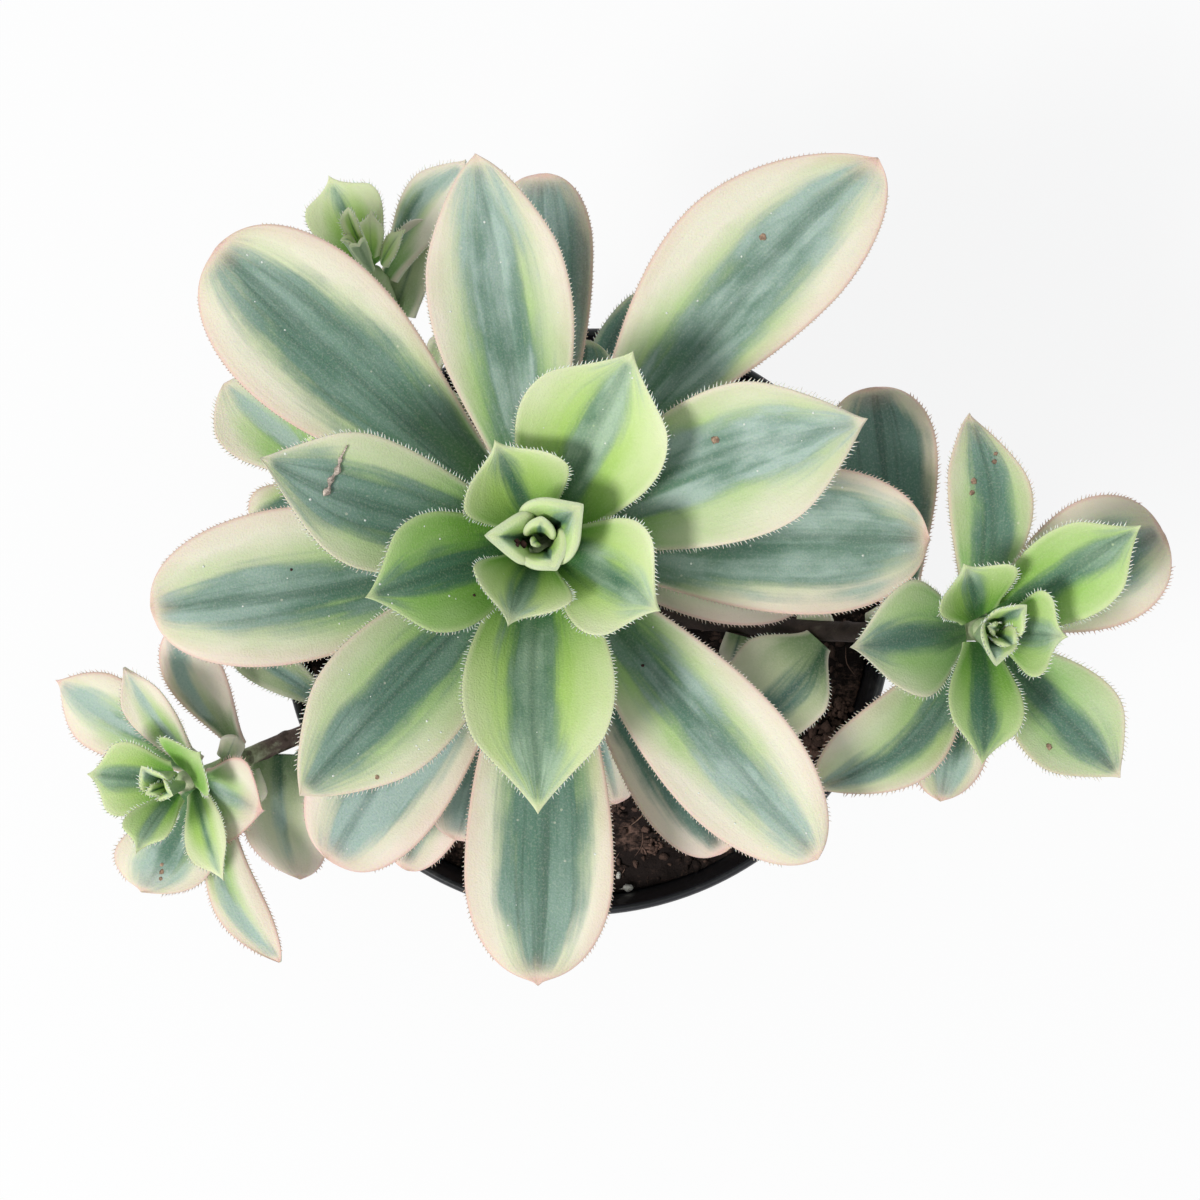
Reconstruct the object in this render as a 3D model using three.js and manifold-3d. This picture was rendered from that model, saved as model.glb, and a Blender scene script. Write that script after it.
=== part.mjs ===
// A variegated rosette succulent in its round plastic nursery pot: a leaning main stem with a large
// rosette, four side shoots on thin branches, old leaves along the stems, and potting soil.
// Millimetres, +Z up. The origin is the centre of the pot's underside, on the surface it stands on.

import * as THREE from 'three';
import { mergeVertices } from 'three/addons/utils/BufferGeometryUtils.js';
import Module from 'manifold-3d';

const wasm = await Module();
wasm.setup();

// ---- driving dimensions ----

const GAP = 0.3; // clearance kept between neighbouring pieces

const POT_HEIGHT = 95;
const RIM_RADIUS = 60;
const BASE_RADIUS = 43;
const COLLAR_HEIGHT = 15; // the stepped-out band under the rim
const COLLAR_STEP = 1.2;
const LIP_WIDTH = 1.8;
const WALL = 1.1;
const FLOOR = 1.5;
const DRAIN_HOLES = 8;
const DRAIN_RADIUS = 4;
const DRAIN_CIRCLE = 33;
const RIM_OVAL = 0.024; // the thin rim is pushed this far out of round
const RIM_OVAL_AZIMUTH = 18; // degrees, the direction of the wide way across
const POT_SEGMENTS = 64;

const SOIL_TOP = 82.5;
const SOIL_MOUND = 3; // how much higher the soil stands at the stem than at the wall
const SOIL_LUMP = 0.9;
const STEM_BURIED = 18; // how deep the stem goes into the soil
const STEM_HOLE_RADIUS = 5.4;

const LEAF_SIDES = 8;
const LEAF_STEPS = 9;
const STEM_SIDES = 10;

const HEAD = new THREE.Vector3(-7.6, 14.4, 171); // top of the main stem, under the bud
const MAIN_STEM_TOP_RADIUS = 2.2;

// ---- helpers ----

const radians = THREE.MathUtils.degToRad;
const mix = THREE.MathUtils.lerp;

const plant = new THREE.Group();

function addMesh(parent, name, geometry, material) {
  const mesh = new THREE.Mesh(geometry, material);
  mesh.name = name;
  parent.add(mesh);
  return mesh;
}

/** Moves every vertex of a geometry by a rule and closes its seams. */
function reshape(geometry, rule) {
  const place = geometry.attributes.position;
  const point = new THREE.Vector3();
  for (let i = 0; i < place.count; i++) {
    point.fromBufferAttribute(place, i);
    rule(point);
    place.setXYZ(i, point.x, point.y, point.z);
  }
  geometry.deleteAttribute('normal');
  geometry.deleteAttribute('uv');
  return mergeVertices(geometry, 1e-4);
}

function toSolid(geometry) {
  return new wasm.Manifold(new wasm.Mesh({
    numProp: 3,
    vertProperties: geometry.attributes.position.array,
    triVerts: Uint32Array.from(geometry.index.array),
  }));
}

function toGeometry(solid) {
  const { vertProperties, triVerts } = solid.getMesh();
  const geometry = new THREE.BufferGeometry();
  geometry.setAttribute('position', new THREE.BufferAttribute(vertProperties, 3));
  geometry.setIndex(new THREE.BufferAttribute(triVerts, 1));
  return geometry;
}

/** A lathe around Z from [radius, height] pairs. */
function turned(profile, segments) {
  const lathe = new THREE.LatheGeometry(profile.map(([r, z]) => new THREE.Vector2(r, z)), segments);
  lathe.rotateX(Math.PI / 2);
  return reshape(lathe, () => {});
}

/** An upright cylinder around Z, from one height to another. */
function post(radius, low, high, x = 0, y = 0) {
  const cylinder = new THREE.CylinderGeometry(radius, radius, high - low, 16);
  cylinder.rotateX(Math.PI / 2);
  cylinder.translate(x, y, (low + high) / 2);
  return reshape(cylinder, () => {});
}

// ---- materials ----

const matte = (color, roughness) => new THREE.MeshStandardMaterial({ color, roughness, metalness: 0 });
const plastic = matte(0x15161b, 0.45);
const peat = matte(0x2c211d, 0.95);
const bark = matte(0x77655a, 0.8);
const youngLeaf = matte(0x8fb35c, 0.5);
const openLeaf = matte(0x86a98a, 0.5);
const oldLeaf = matte(0x6f8775, 0.55);

// ---- pot ----

/** Pushes a round outline slightly oval, more towards the rim than at the stiff base. */
function pressOval(point) {
  const share = RIM_OVAL * (point.z / POT_HEIGHT) ** 2;
  const turn = radians(RIM_OVAL_AZIMUTH);
  const along = point.x * Math.cos(turn) + point.y * Math.sin(turn);
  const across = point.y * Math.cos(turn) - point.x * Math.sin(turn);
  const wide = along * (1 + share);
  const narrow = across * (1 - share);
  point.x = wide * Math.cos(turn) - narrow * Math.sin(turn);
  point.y = narrow * Math.cos(turn) + wide * Math.sin(turn);
}

const COLLAR_LOW = POT_HEIGHT - COLLAR_HEIGHT;
const SHOULDER_RADIUS = RIM_RADIUS - LIP_WIDTH - COLLAR_STEP;
const COLLAR_INNER = SHOULDER_RADIUS + COLLAR_STEP - WALL;
const STEP_LOW = COLLAR_LOW - 0.4; // where the inner wall steps out to the collar
const STEP_HIGH = COLLAR_LOW + 1.6;

/** Outer radius of the tapered wall below the collar. */
const wallRadius = (z) => mix(BASE_RADIUS, SHOULDER_RADIUS, z / COLLAR_LOW);

function potGeometry() {
  const profile = [
    [0, 0],
    [BASE_RADIUS - 1, 0],
    [BASE_RADIUS, 1],
    [SHOULDER_RADIUS, COLLAR_LOW],
    [SHOULDER_RADIUS + COLLAR_STEP, COLLAR_LOW + 0.6],
    [RIM_RADIUS - LIP_WIDTH + 0.6, POT_HEIGHT - 3],
    [RIM_RADIUS - 0.4, POT_HEIGHT - 2.4],
    [RIM_RADIUS, POT_HEIGHT - 1],
    [RIM_RADIUS - 0.6, POT_HEIGHT],
    [RIM_RADIUS - LIP_WIDTH, POT_HEIGHT],
    [COLLAR_INNER, STEP_HIGH],
    [SHOULDER_RADIUS - WALL, STEP_LOW],
    [wallRadius(FLOOR) - WALL, FLOOR],
    [0, FLOOR],
  ];
  let solid = toSolid(turned(profile, POT_SEGMENTS));
  for (let i = 0; i < DRAIN_HOLES; i++) {
    const turn = (i / DRAIN_HOLES) * 2 * Math.PI;
    const x = DRAIN_CIRCLE * Math.cos(turn);
    const y = DRAIN_CIRCLE * Math.sin(turn);
    solid = solid.subtract(toSolid(post(DRAIN_RADIUS, -1, FLOOR + 1, x, y)));
  }
  return reshape(toGeometry(solid), pressOval);
}

addMesh(plant, 'pot', potGeometry(), plastic);

// ---- potting soil ----

/** Low lumps on the soil, as the sum of a few crossing waves. */
const lump = (x, y) => SOIL_LUMP * (Math.sin(x / 5 + 1) * Math.cos(y / 6) + Math.sin((x + y) / 9 + 2)) / 2;

function soilGeometry() {
  const low = FLOOR + GAP;
  const edge = COLLAR_INNER - GAP;
  const profile = [
    [0, low],
    [wallRadius(low) - WALL - GAP - 0.5, low],
    [SHOULDER_RADIUS - WALL - GAP, STEP_LOW],
    [edge, STEP_HIGH + GAP],
    [edge, SOIL_TOP],
  ];
  for (const share of [0.8, 0.6, 0.4, 0.2, 0]) {
    const mound = SOIL_MOUND * Math.cos(share * Math.PI / 2);
    profile.push([edge * share, SOIL_TOP + mound]);
  }
  const heap = reshape(turned(profile, POT_SEGMENTS / 2), (point) => {
    if (point.z > SOIL_TOP) point.z += lump(point.x, point.y);
    pressOval(point);
  });
  const hole = toSolid(post(STEM_HOLE_RADIUS, SOIL_TOP - STEM_BURIED - 1, SOIL_TOP + 10));
  return toGeometry(toSolid(heap).subtract(hole));
}

addMesh(plant, 'potting_soil', soilGeometry(), peat);

// ---- stems ----

/** A stem with round ends along a smooth curve, its radius going through the given values. */
function stemGeometry(points, radii, steps) {
  const curve = new THREE.CatmullRomCurve3(points.map((p) => new THREE.Vector3(...p)));
  const frames = curve.computeFrenetFrames(steps);
  const tube = new THREE.CylinderGeometry(1, 1, 1, STEM_SIDES, steps);
  return reshape(tube, (point) => {
    const share = point.y + 0.5;
    const station = Math.round(share * steps);
    const place = share * (radii.length - 1);
    const lower = Math.min(Math.floor(place), radii.length - 2);
    const radius = mix(radii[lower], radii[lower + 1], place - lower);
    const across = frames.normals[station].clone().multiplyScalar(point.x * radius);
    const up = frames.binormals[station].clone().multiplyScalar(-point.z * radius);
    point.copy(curve.getPointAt(share)).add(across).add(up);
  });
}

const STEMS = [
  {
    name: 'main_stem',
    radii: [4.2, 4.2, 4.0, 3.6, 3.2, 2.9, 2.6, MAIN_STEM_TOP_RADIUS],
    steps: 16,
    points: [
      [0, 0, SOIL_TOP - STEM_BURIED], [0, 0.2, 82], [-1.2, 2.6, 92], [-3.4, 7, 102], [-5.8, 11, 112],
      [HEAD.x, HEAD.y, 130], [HEAD.x, HEAD.y, 150], HEAD.toArray(),
    ],
  },
  {
    name: 'left_branch',
    radii: [1.9, 1.8, 1.7, 1.7, 1.8, 2.0],
    steps: 12,
    points: [[-6.2, 0.6, 90], [-20, -6, 95], [-42, -16, 101], [-62, -24.4, 107], [-72.4, -28.8, 117.5],
      [-75.2, -29.4, 128]],
  },
  {
    name: 'right_branch',
    radii: [2.2, 2.0, 1.9, 1.9, 2.0, 2.0],
    steps: 12,
    points: [[4.2, 2.2, 91.6], [22, 0.6, 104], [44, -1.4, 119], [60, -1.6, 137], [67.4, -0.8, 152],
      [68.4, -0.6, 164]],
  },
  {
    name: 'back_left_branch',
    radii: [2.4, 2.3, 2.2, 2.1, 2.1, 1.9],
    steps: 12,
    points: [[-5.6, 10.2, 93], [-13, 24, 99], [-22, 38, 104], [-31.6, 47.5, 109], [-36.8, 56, 114.5],
      [-38.4, 62.2, 123], [-40, 65.3, 129.3]],
  },
  {
    name: 'west_branch',
    radii: [1.9, 1.8, 1.7, 1.6, 1.6],
    steps: 10,
    points: [[-7.8, 6.6, 96], [-22, 12, 106], [-38, 20, 118], [-47, 25.5, 128], [-49.5, 27.3, 136]],
  },
];

for (const { name, points, radii, steps } of STEMS) {
  addMesh(plant, name, stemGeometry(points, radii, steps), bark);
}

// ---- leaves ----

/**
 * One leaf of a shoot, as a sphere drawn out along its midrib. Seen along the shoot's axis it has
 * its measured reach and width. All leaves of a shoot lie on bowls around its axis that open wider
 * with age, so a leaf and its older neighbours never cross.
 *
 * reach     distance of the tip from the axis          width   widest way across
 * pitch     rise in degrees at the base and the tip    drop    how far below the head it starts
 * widest    where along the leaf it is widest, 0 to 1  blunt   0.5 for a round tip, 1 for a point
 * waist     width of the base as a share of the width  sweep   sideways bend of the tip
 */
function leafGeometry({ start, reach, width, pitch, drop, widest, blunt, waist, sweep, thick, cup }) {
  const blank = new THREE.SphereGeometry(1, LEAF_SIDES, LEAF_STEPS);
  const [baseSlope, tipSlope] = pitch.map((degrees) => Math.tan(radians(degrees)));
  const run = reach - start;
  return reshape(blank, (point) => {
    const along = (1 - point.y) / 2;
    const ring = Math.hypot(point.x, point.z);
    const across = ring > 1e-6 ? point.x / ring : 0;
    const side = ring > 1e-6 ? point.z / ring : 0;
    const outer = Math.max(0, (along - widest) / (1 - widest));
    const inner = Math.min(1, along / widest);
    const swell = mix(waist, 1, Math.sin(inner * Math.PI / 2) ** 1.5);
    const half = (width / 2) * swell * (1 - outer ** 2) ** blunt;
    const out = start + run * along;
    const aside = half * across + sweep * along ** 3;
    const radius = Math.hypot(out, aside);
    const share = (radius - start) / run;
    const rise = run * (baseSlope * share + (tipSlope - baseSlope) * share ** 2 / 2);
    const slope = Math.atan(baseSlope + (tipSlope - baseSlope) * share);
    const depth = thick * (1 - 0.55 * along) * side;
    const lean = 1 - depth * Math.sin(slope) / radius;
    point.x = out * lean;
    point.y = aside * lean;
    point.z = -drop + rise + cup * (half * across) ** 2 + depth * Math.cos(slope);
  });
}

/** Rise of a leaf at its base and tip, from steep in the bud to level or hanging when old. */
function pitchAt(age) {
  return [86 * Math.exp(-age / 14) - 8, 62 * Math.exp(-age / 7.5) - 3 - 0.4 * age];
}

const dropAt = (age) => age + 0.035 * age ** 2;

/** Shapes of young, open and old leaves. */
function leafShape(age) {
  if (age < 8) return { widest: 0.52, blunt: 0.85, waist: 0.5, thick: 0.7, cup: 0.012 };
  if (age < 12) return { widest: 0.6, blunt: 0.72, waist: 0.36, thick: 1.0, cup: 0.01 };
  return { widest: 0.66, blunt: 0.55, waist: 0.3, thick: 1.1, cup: 0.008 };
}

function addLeaf(shoot, name, leaf) {
  const { age } = leaf;
  const spec = {
    start: shoot.radius + GAP, pitch: pitchAt(age), drop: dropAt(age) * shoot.closeness, sweep: 0,
    ...leafShape(age), ...leaf,
  };
  const material = age < 8 ? youngLeaf : age < 18 ? openLeaf : oldLeaf;
  const mesh = addMesh(shoot.group, name, leafGeometry(spec), material);
  mesh.rotation.z = radians(leaf.azimuth);
}

/** A shoot's frame: its head at a place, its axis leaning towards an azimuth. */
function shootFrame(place, leanAzimuth, leanAngle) {
  const group = new THREE.Group();
  const turn = radians(leanAzimuth);
  const hinge = new THREE.Vector3(-Math.sin(turn), Math.cos(turn), 0);
  group.position.set(...place);
  group.quaternion.setFromAxisAngle(hinge, radians(leanAngle));
  plant.add(group);
  return group;
}

/** The closed bud in the middle of a rosette, an upright drop. */
function addBud(shoot, name, radius, height) {
  const drop = new THREE.SphereGeometry(1, 10, 8);
  const bud = reshape(drop, (point) => {
    const up = (1 - point.y) / 2;
    const ring = Math.hypot(point.x, point.z);
    const reachOut = radius * Math.sin(Math.PI * up ** 0.8) ** 0.8;
    const [x, z] = ring > 1e-6 ? [point.x / ring, point.z / ring] : [0, 0];
    point.set(x * reachOut, z * reachOut, GAP + height * up);
  });
  addMesh(shoot.group, name, bud, youngLeaf);
}

const leaf = (age, azimuth, reach, width, more = {}) => ({ age, azimuth, reach, width, ...more });

// Each leaf of the main rosette stands about 137.5 degrees clockwise of the one before.
const MAIN_LEAVES = [
  leaf(2, 251, 14.5, 17),
  leaf(3, 114, 17, 18.5),
  leaf(4, 333, 22.5, 20.5, { sweep: -1.5 }),
  leaf(5, 199, 29, 20),
  leaf(6, 63, 33.5, 25.5),
  leaf(7, 270, 44, 25),
  leaf(8, 170, 46.5, 22.5, { sweep: -5 }),
  leaf(9, 22, 56.5, 25.5, { sweep: -2, blunt: 0.85 }),
  leaf(10, 227, 57.5, 24),
  leaf(11, 99.5, 64.5, 24.5, { blunt: 0.65 }),
  leaf(12, 311, 70.5, 23),
  leaf(13, 190, 67, 26.5, { widest: 0.64, blunt: 0.48 }),
  leaf(14, 53.5, 88, 28, { sweep: -8, blunt: 0.5 }),
  leaf(15, 269.5, 76, 26.5, { widest: 0.74, blunt: 0.52 }),
  leaf(16, 138, 76.5, 30, { widest: 0.7, blunt: 0.46 }),
  leaf(17, 0.5, 68, 26, { widest: 0.68, blunt: 0.5 }),
  leaf(18, 236, 68, 22, { blunt: 0.5 }),
  leaf(19, 90.5, 66.5, 18.5, { widest: 0.78, blunt: 0.46 }),
  leaf(20, 300, 64.5, 18, { widest: 0.72 }),
  leaf(23, 253, 57, 18.5),
  leaf(25, 350, 50, 17),
];

const LEFT_LEAVES = [
  leaf(2, 258, 11, 9.5),
  leaf(3.5, 43, 9, 14),
  leaf(5, 172, 14.5, 14),
  leaf(7, 304, 20, 9),
  leaf(8.5, 345, 17.5, 17),
  leaf(10, 117, 23.5, 9, { blunt: 0.9 }),
  leaf(12, 254, 23.5, 19, { sweep: -4 }),
  leaf(13.5, 147, 33, 15, { blunt: 0.9 }),
  leaf(15.5, 280, 37, 10.5, { sweep: 9, blunt: 0.75 }),
];

const RIGHT_LEAVES = [
  leaf(2, 354, 10.5, 12.5),
  leaf(3.5, 118, 12, 15),
  leaf(5, 260, 22, 13),
  leaf(6.5, 37, 28.5, 16),
  leaf(8, 187, 24, 20),
  leaf(9.5, 311, 33, 18.5, { blunt: 0.85 }),
  leaf(11, 90, 36, 15.5, { sweep: 3 }),
  leaf(12.5, 238, 38.5, 17, { sweep: -10, blunt: 0.75 }),
  leaf(15, 27, 38, 23),
  leaf(17, 260, 31, 15),
];

const BACK_LEAVES = [
  leaf(6, 114, 17, 14.5),
  leaf(9, 48, 26, 14),
];

const WEST_LEAVES = [
  leaf(10, 135, 24, 15),
];

const ROSETTES = [
  {
    name: 'main', place: HEAD.toArray(), lean: [0, 0], radius: 3.2, closeness: 1,
    bud: [4.2, 16], leaves: MAIN_LEAVES,
  },
  {
    name: 'left', place: [-76, -29.5, 131], lean: [190, 15], radius: 2.2, closeness: 0.75,
    bud: [2.6, 9], leaves: LEFT_LEAVES,
  },
  {
    name: 'right', place: [68.5, -0.6, 166], lean: [0, 4], radius: 2.5, closeness: 0.8,
    bud: [3.0, 10], leaves: RIGHT_LEAVES,
  },
  {
    name: 'back_left', place: [-40.6, 66.6, 132], lean: [115, 28], radius: 2.2, closeness: 0.7,
    bud: [2.8, 10], leaves: BACK_LEAVES,
  },
  {
    name: 'west', place: [-49.5, 27.3, 138], lean: [150, 10], radius: 1.7, closeness: 0.6,
    bud: null, leaves: WEST_LEAVES,
  },
];

for (const { name, place, lean, radius, closeness, bud, leaves } of ROSETTES) {
  const shoot = { group: shootFrame(place, ...lean), radius, closeness };
  if (bud) addBud(shoot, `${name}_bud`, ...bud);
  leaves.forEach((spec, index) => {
    const number = String(index + 1).padStart(2, '0');
    addLeaf(shoot, `${name}_leaf_${number}`, spec);
  });
}

// Old leaves that stand singly on the branches, each in a frame on its branch's centre line.
const BRANCH_LEAVES = [
  {
    name: 'left_branch_leaf_hanging', place: [-66.5, -26, 110], radius: 2,
    leaf: leaf(20, 118, 28, 11, { pitch: [25, 10], drop: 0 }),
  },
  {
    name: 'left_branch_leaf_front', place: [-59.8, -23.5, 106.3], radius: 2,
    leaf: leaf(20, 268, 27, 16, { pitch: [-5, -20], drop: 0, sweep: 3 }),
  },
  {
    name: 'left_branch_leaf_inner', place: [-57, -22.4, 105.5], radius: 2,
    leaf: leaf(20, 311, 31, 15, { pitch: [-20, -5], drop: 1.2, sweep: 10 }),
  },
  {
    name: 'left_branch_leaf_back', place: [-47.5, -18.2, 103], radius: 2,
    leaf: leaf(20, 146, 28, 9, { pitch: [15, 5], drop: 0 }),
  },
  {
    name: 'right_branch_leaf_front', place: [45.5, -1.4, 120.3], radius: 2.2,
    leaf: leaf(20, 228, 26, 19, { pitch: [0, -20], drop: 0 }),
  },
  {
    name: 'right_branch_leaf_back', place: [58, -1.6, 134.5], radius: 2.2,
    leaf: leaf(20, 98, 45, 20, { pitch: [15, 0], drop: 0 }),
  },
];

for (const { name, place, radius, leaf: spec } of BRANCH_LEAVES) {
  addLeaf({ group: shootFrame(place, 0, 0), radius, closeness: 1 }, name, spec);
}

export default plant;
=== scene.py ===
"""A variegated rosette succulent in a black nursery pot, built as an add-on that runs as a script.

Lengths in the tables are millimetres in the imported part's frame: +Z up, the origin under the middle
of the pot. Azimuths are degrees, counter-clockwise from +X.
"""

import random
from math import acos, atan, atan2, copysign, cos, exp, hypot, pi, radians, sin, sqrt, tan, tau
from types import SimpleNamespace

import bmesh
import bpy
from bpy.props import FloatProperty, FloatVectorProperty, IntProperty, PointerProperty
from mathutils import Matrix, Vector, noise


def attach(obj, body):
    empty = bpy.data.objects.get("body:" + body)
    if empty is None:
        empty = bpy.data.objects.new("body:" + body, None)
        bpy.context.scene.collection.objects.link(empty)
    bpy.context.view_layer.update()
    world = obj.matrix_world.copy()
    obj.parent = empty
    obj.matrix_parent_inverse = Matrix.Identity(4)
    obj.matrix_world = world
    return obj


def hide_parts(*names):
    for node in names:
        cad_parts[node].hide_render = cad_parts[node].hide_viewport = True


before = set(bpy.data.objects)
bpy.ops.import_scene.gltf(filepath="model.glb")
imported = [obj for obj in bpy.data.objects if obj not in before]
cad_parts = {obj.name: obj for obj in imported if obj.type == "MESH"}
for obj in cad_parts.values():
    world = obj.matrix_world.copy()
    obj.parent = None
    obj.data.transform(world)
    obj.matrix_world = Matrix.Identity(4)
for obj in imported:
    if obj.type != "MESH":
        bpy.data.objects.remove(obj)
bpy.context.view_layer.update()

bl_info = {
    "name": "Potted Rosette Succulent",
    "version": (1, 0, 0),
    "blender": (4, 5, 0),
    "location": "View3D > Sidebar > Succulent",
    "description": "Builds a variegated rosette succulent with its pot, soil and studio",
    "category": "Add Mesh",
}

MM = 0.001
BODY = "root"


# ---- numbers, colours and places ----

def mix(a, b, share):
    return a + (b - a) * share


def smooth(low, high, value):
    """0 below low, 1 above high and an even S between them."""
    share = min(1.0, max(0.0, (value - low) / (high - low)))
    return share * share * (3 - 2 * share)


def tint(code):
    """A colour as linear RGB from six hexadecimal digits."""
    channels = [int(code[i:i + 2], 16) / 255 for i in (0, 2, 4)]
    return tuple(c / 12.92 if c <= 0.04045 else ((c + 0.055) / 1.055) ** 2.4 for c in channels)


def dimmed(shade, share):
    return tuple(share * c for c in shade)


def wobble(point, size, seed):
    """Smooth noise between about -1 and 1 with features of that size, in the point's unit."""
    return noise.noise(Vector(point) / size + Vector((seed, 1.7 * seed, -seed)))


def toward(azimuth):
    turn = radians(azimuth)
    return Vector((cos(turn), sin(turn), 0))


# ---- settings ----

def colour(name, description, code):
    return FloatVectorProperty(
        name=name, description=description, subtype="COLOR", size=3, min=0, max=1, default=tint(code))


def length(name, description, default):
    return FloatProperty(
        name=name, description=description, default=default * MM, min=0, unit="LENGTH", precision=4)


def number(name, description, default, high=1.0):
    return FloatProperty(name=name, description=description, default=default, min=0, max=high)


def count(name, description, default):
    return IntProperty(name=name, description=description, default=default, min=0)


class PotSettings(bpy.types.PropertyGroup):
    height: length("Height", "From the table to the top of the lip", 95)
    rim_radius: length("Rim radius", "Outer radius of the lip before it is pressed oval", 60)
    base_radius: length("Base radius", "Outer radius at the table", 43)
    collar_height: length("Collar height", "Height of the stepped-out band under the lip", 15)
    collar_step: length("Collar step", "How far the band stands out from the wall", 1.2)
    lip_width: length("Lip width", "Width of the rolled lip seen from above", 1.8)
    wall: length("Wall", "Thickness of the wall", 1.1)
    floor: length("Floor", "Thickness of the floor", 1.5)
    drain_circle: length("Drain circle", "Distance of the drain holes from the middle", 33)
    drain_radius: length("Drain radius", "Radius of one drain hole", 4)
    drain_holes: count("Drain holes", "Number of drain holes", 8)
    oval: number("Oval", "How far the thin rim is out of round", 0.024)
    oval_azimuth: number("Oval azimuth", "Direction of the wide way across, in degrees", 18, 180)
    plastic: colour("Plastic", "Black of the moulded plastic", "17181d")
    dust: colour("Dust", "Dry soil dust on the plastic", "6d6660")


class SoilSettings(bpy.types.PropertyGroup):
    top: length("Top", "Height of the soil at the wall", 82.5)
    mound: length("Mound", "How much higher the soil stands at the stem", 3)
    crumbs: count("Crumbs", "Number of loose crumbs", 1500)
    fibres: count("Fibres", "Number of loose fibres", 200)
    grains: count("Grains", "Number of white grains", 16)
    peat: colour("Peat", "Damp peat", "231b19")
    clod: colour("Clod", "Dry clods", "7d6257")
    fibre: colour("Fibre", "Coir fibres and bark slivers", "8b7160")
    grain: colour("Grain", "White mineral grains", "d9d6cf")


class StemSettings(bpy.types.PropertyGroup):
    bark: colour("Bark", "Dry brown bark", "6f5c55")
    crack: colour("Crack", "Cracks and leaf scars", "43342e")
    sap: colour("Green", "Green shoot ends", "a3b886")
    node: colour("Node", "Pale leaf nodes", "cfc9b4")


class LeafSettings(bpy.types.PropertyGroup):
    blush: colour("Blush", "Pink of sun-stressed margins and tips", "dcaaa2")
    under: colour("Underside", "Dull green of the undersides", "9db08b")
    hair: colour("Hairs", "Short stiff hairs along the margins", "eef0e2")
    hair_flush: colour("Flushed hairs", "Hairs on a blushed margin", "c79a8d")
    hair_length: length("Hair length", "Length of a margin hair", 0.95)
    hair_spacing: length("Hair spacing", "Distance between margin hairs", 0.68)
    tip_length: length("Tip length", "Length of the hard point at a leaf's tip", 1.1)


BLADE_PARTS = {
    "side": "Sides", "edge": "Pale margin and tip", "deep": "Green at the base",
    "dark": "Base of the middle band", "band": "Middle band", "bloom": "Powdery end of the band",
}
# The young leaves' green at the base (deep) is partly their own colour and partly painted shade,
# darkened for the shadow that the leaves round it cast there.
BLADE_TINTS = {
    "young": ("afd070", "dce6b8", "78ae46", "447838", "4a765c", "a6bea4"),
    "open": ("a6c57e", "e5e0cb", "88b26c", "557f4b", "567c69", "a3b9ae"),
    "old": ("bac49c", "eadfd0", "7d9568", "3c5f3f", "5a7d70", "9eb4ac"),
}
for stage, codes in BLADE_TINTS.items():
    for (part, words), code in zip(BLADE_PARTS.items(), codes):
        LeafSettings.__annotations__[f"{stage}_{part}"] = colour(
            f"{stage} {part}".capitalize(), f"{words} of the {stage} leaves", code)


class DebrisSettings(bpy.types.PropertyGroup):
    husk: colour("Husk", "Dried flower stalk", "d2c2b4")
    scab: colour("Scab", "Corky scars on the leaves", "b0937c")
    soot: colour("Dark bits", "Dark crumbs caught in the bud", "4a2f2b")
    speck: colour("Speck", "Pale dust specks", "e9ede4")
    speck_low: colour("Speck shade", "Darker spots on the specks", "b9c4b4")


class StudioSettings(bpy.types.PropertyGroup):
    floor: colour("Floor", "Pale studio floor", "fcfcfc")
    glow: number("Floor glow", "How far the floor lights up its own shadows", 0.88)
    sky: colour("Sky light", "Soft light from all around", "f6f9ff")
    sky_strength: number("Sky strength", "Strength of the light from all around", 0.56, 10)
    key: colour("Key light", "Colour of the large soft lamp", "fffefb")
    key_power: number("Key power", "Power of the large soft lamp, in watts", 30, 1000)
    key_size: length("Key size", "Width across the large soft lamp", 560)
    key_distance: length("Key distance", "From the plant to the large soft lamp", 2000)
    key_azimuth: number("Key azimuth", "Direction of the large soft lamp, in degrees", 208, 360)
    key_tilt: number("Key tilt", "How far the lamp stands from overhead, in degrees", 36, 90)
    camera_height: length("Camera height", "Height of the camera over the table", 575)
    lens: number("Lens", "Focal length in millimetres", 72, 300)


SETTINGS = {
    "succulent_pot": PotSettings,
    "succulent_soil": SoilSettings,
    "succulent_stems": StemSettings,
    "succulent_leaves": LeafSettings,
    "succulent_debris": DebrisSettings,
    "succulent_studio": StudioSettings,
}


# ---- shader graphs ----

class Value:
    """A socket that takes part in Python arithmetic: each operator adds its Math node."""

    def __init__(self, graph, socket):
        self.graph = graph
        self.socket = socket

    def __add__(self, other):
        return self.graph.math("ADD", self, other)

    def __sub__(self, other):
        return self.graph.math("SUBTRACT", self, other)

    def __rsub__(self, other):
        return self.graph.math("SUBTRACT", other, self)

    def __mul__(self, other):
        return self.graph.math("MULTIPLY", self, other)

    def __abs__(self):
        return self.graph.math("ABSOLUTE", self)

    __radd__ = __add__
    __rmul__ = __mul__


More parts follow.
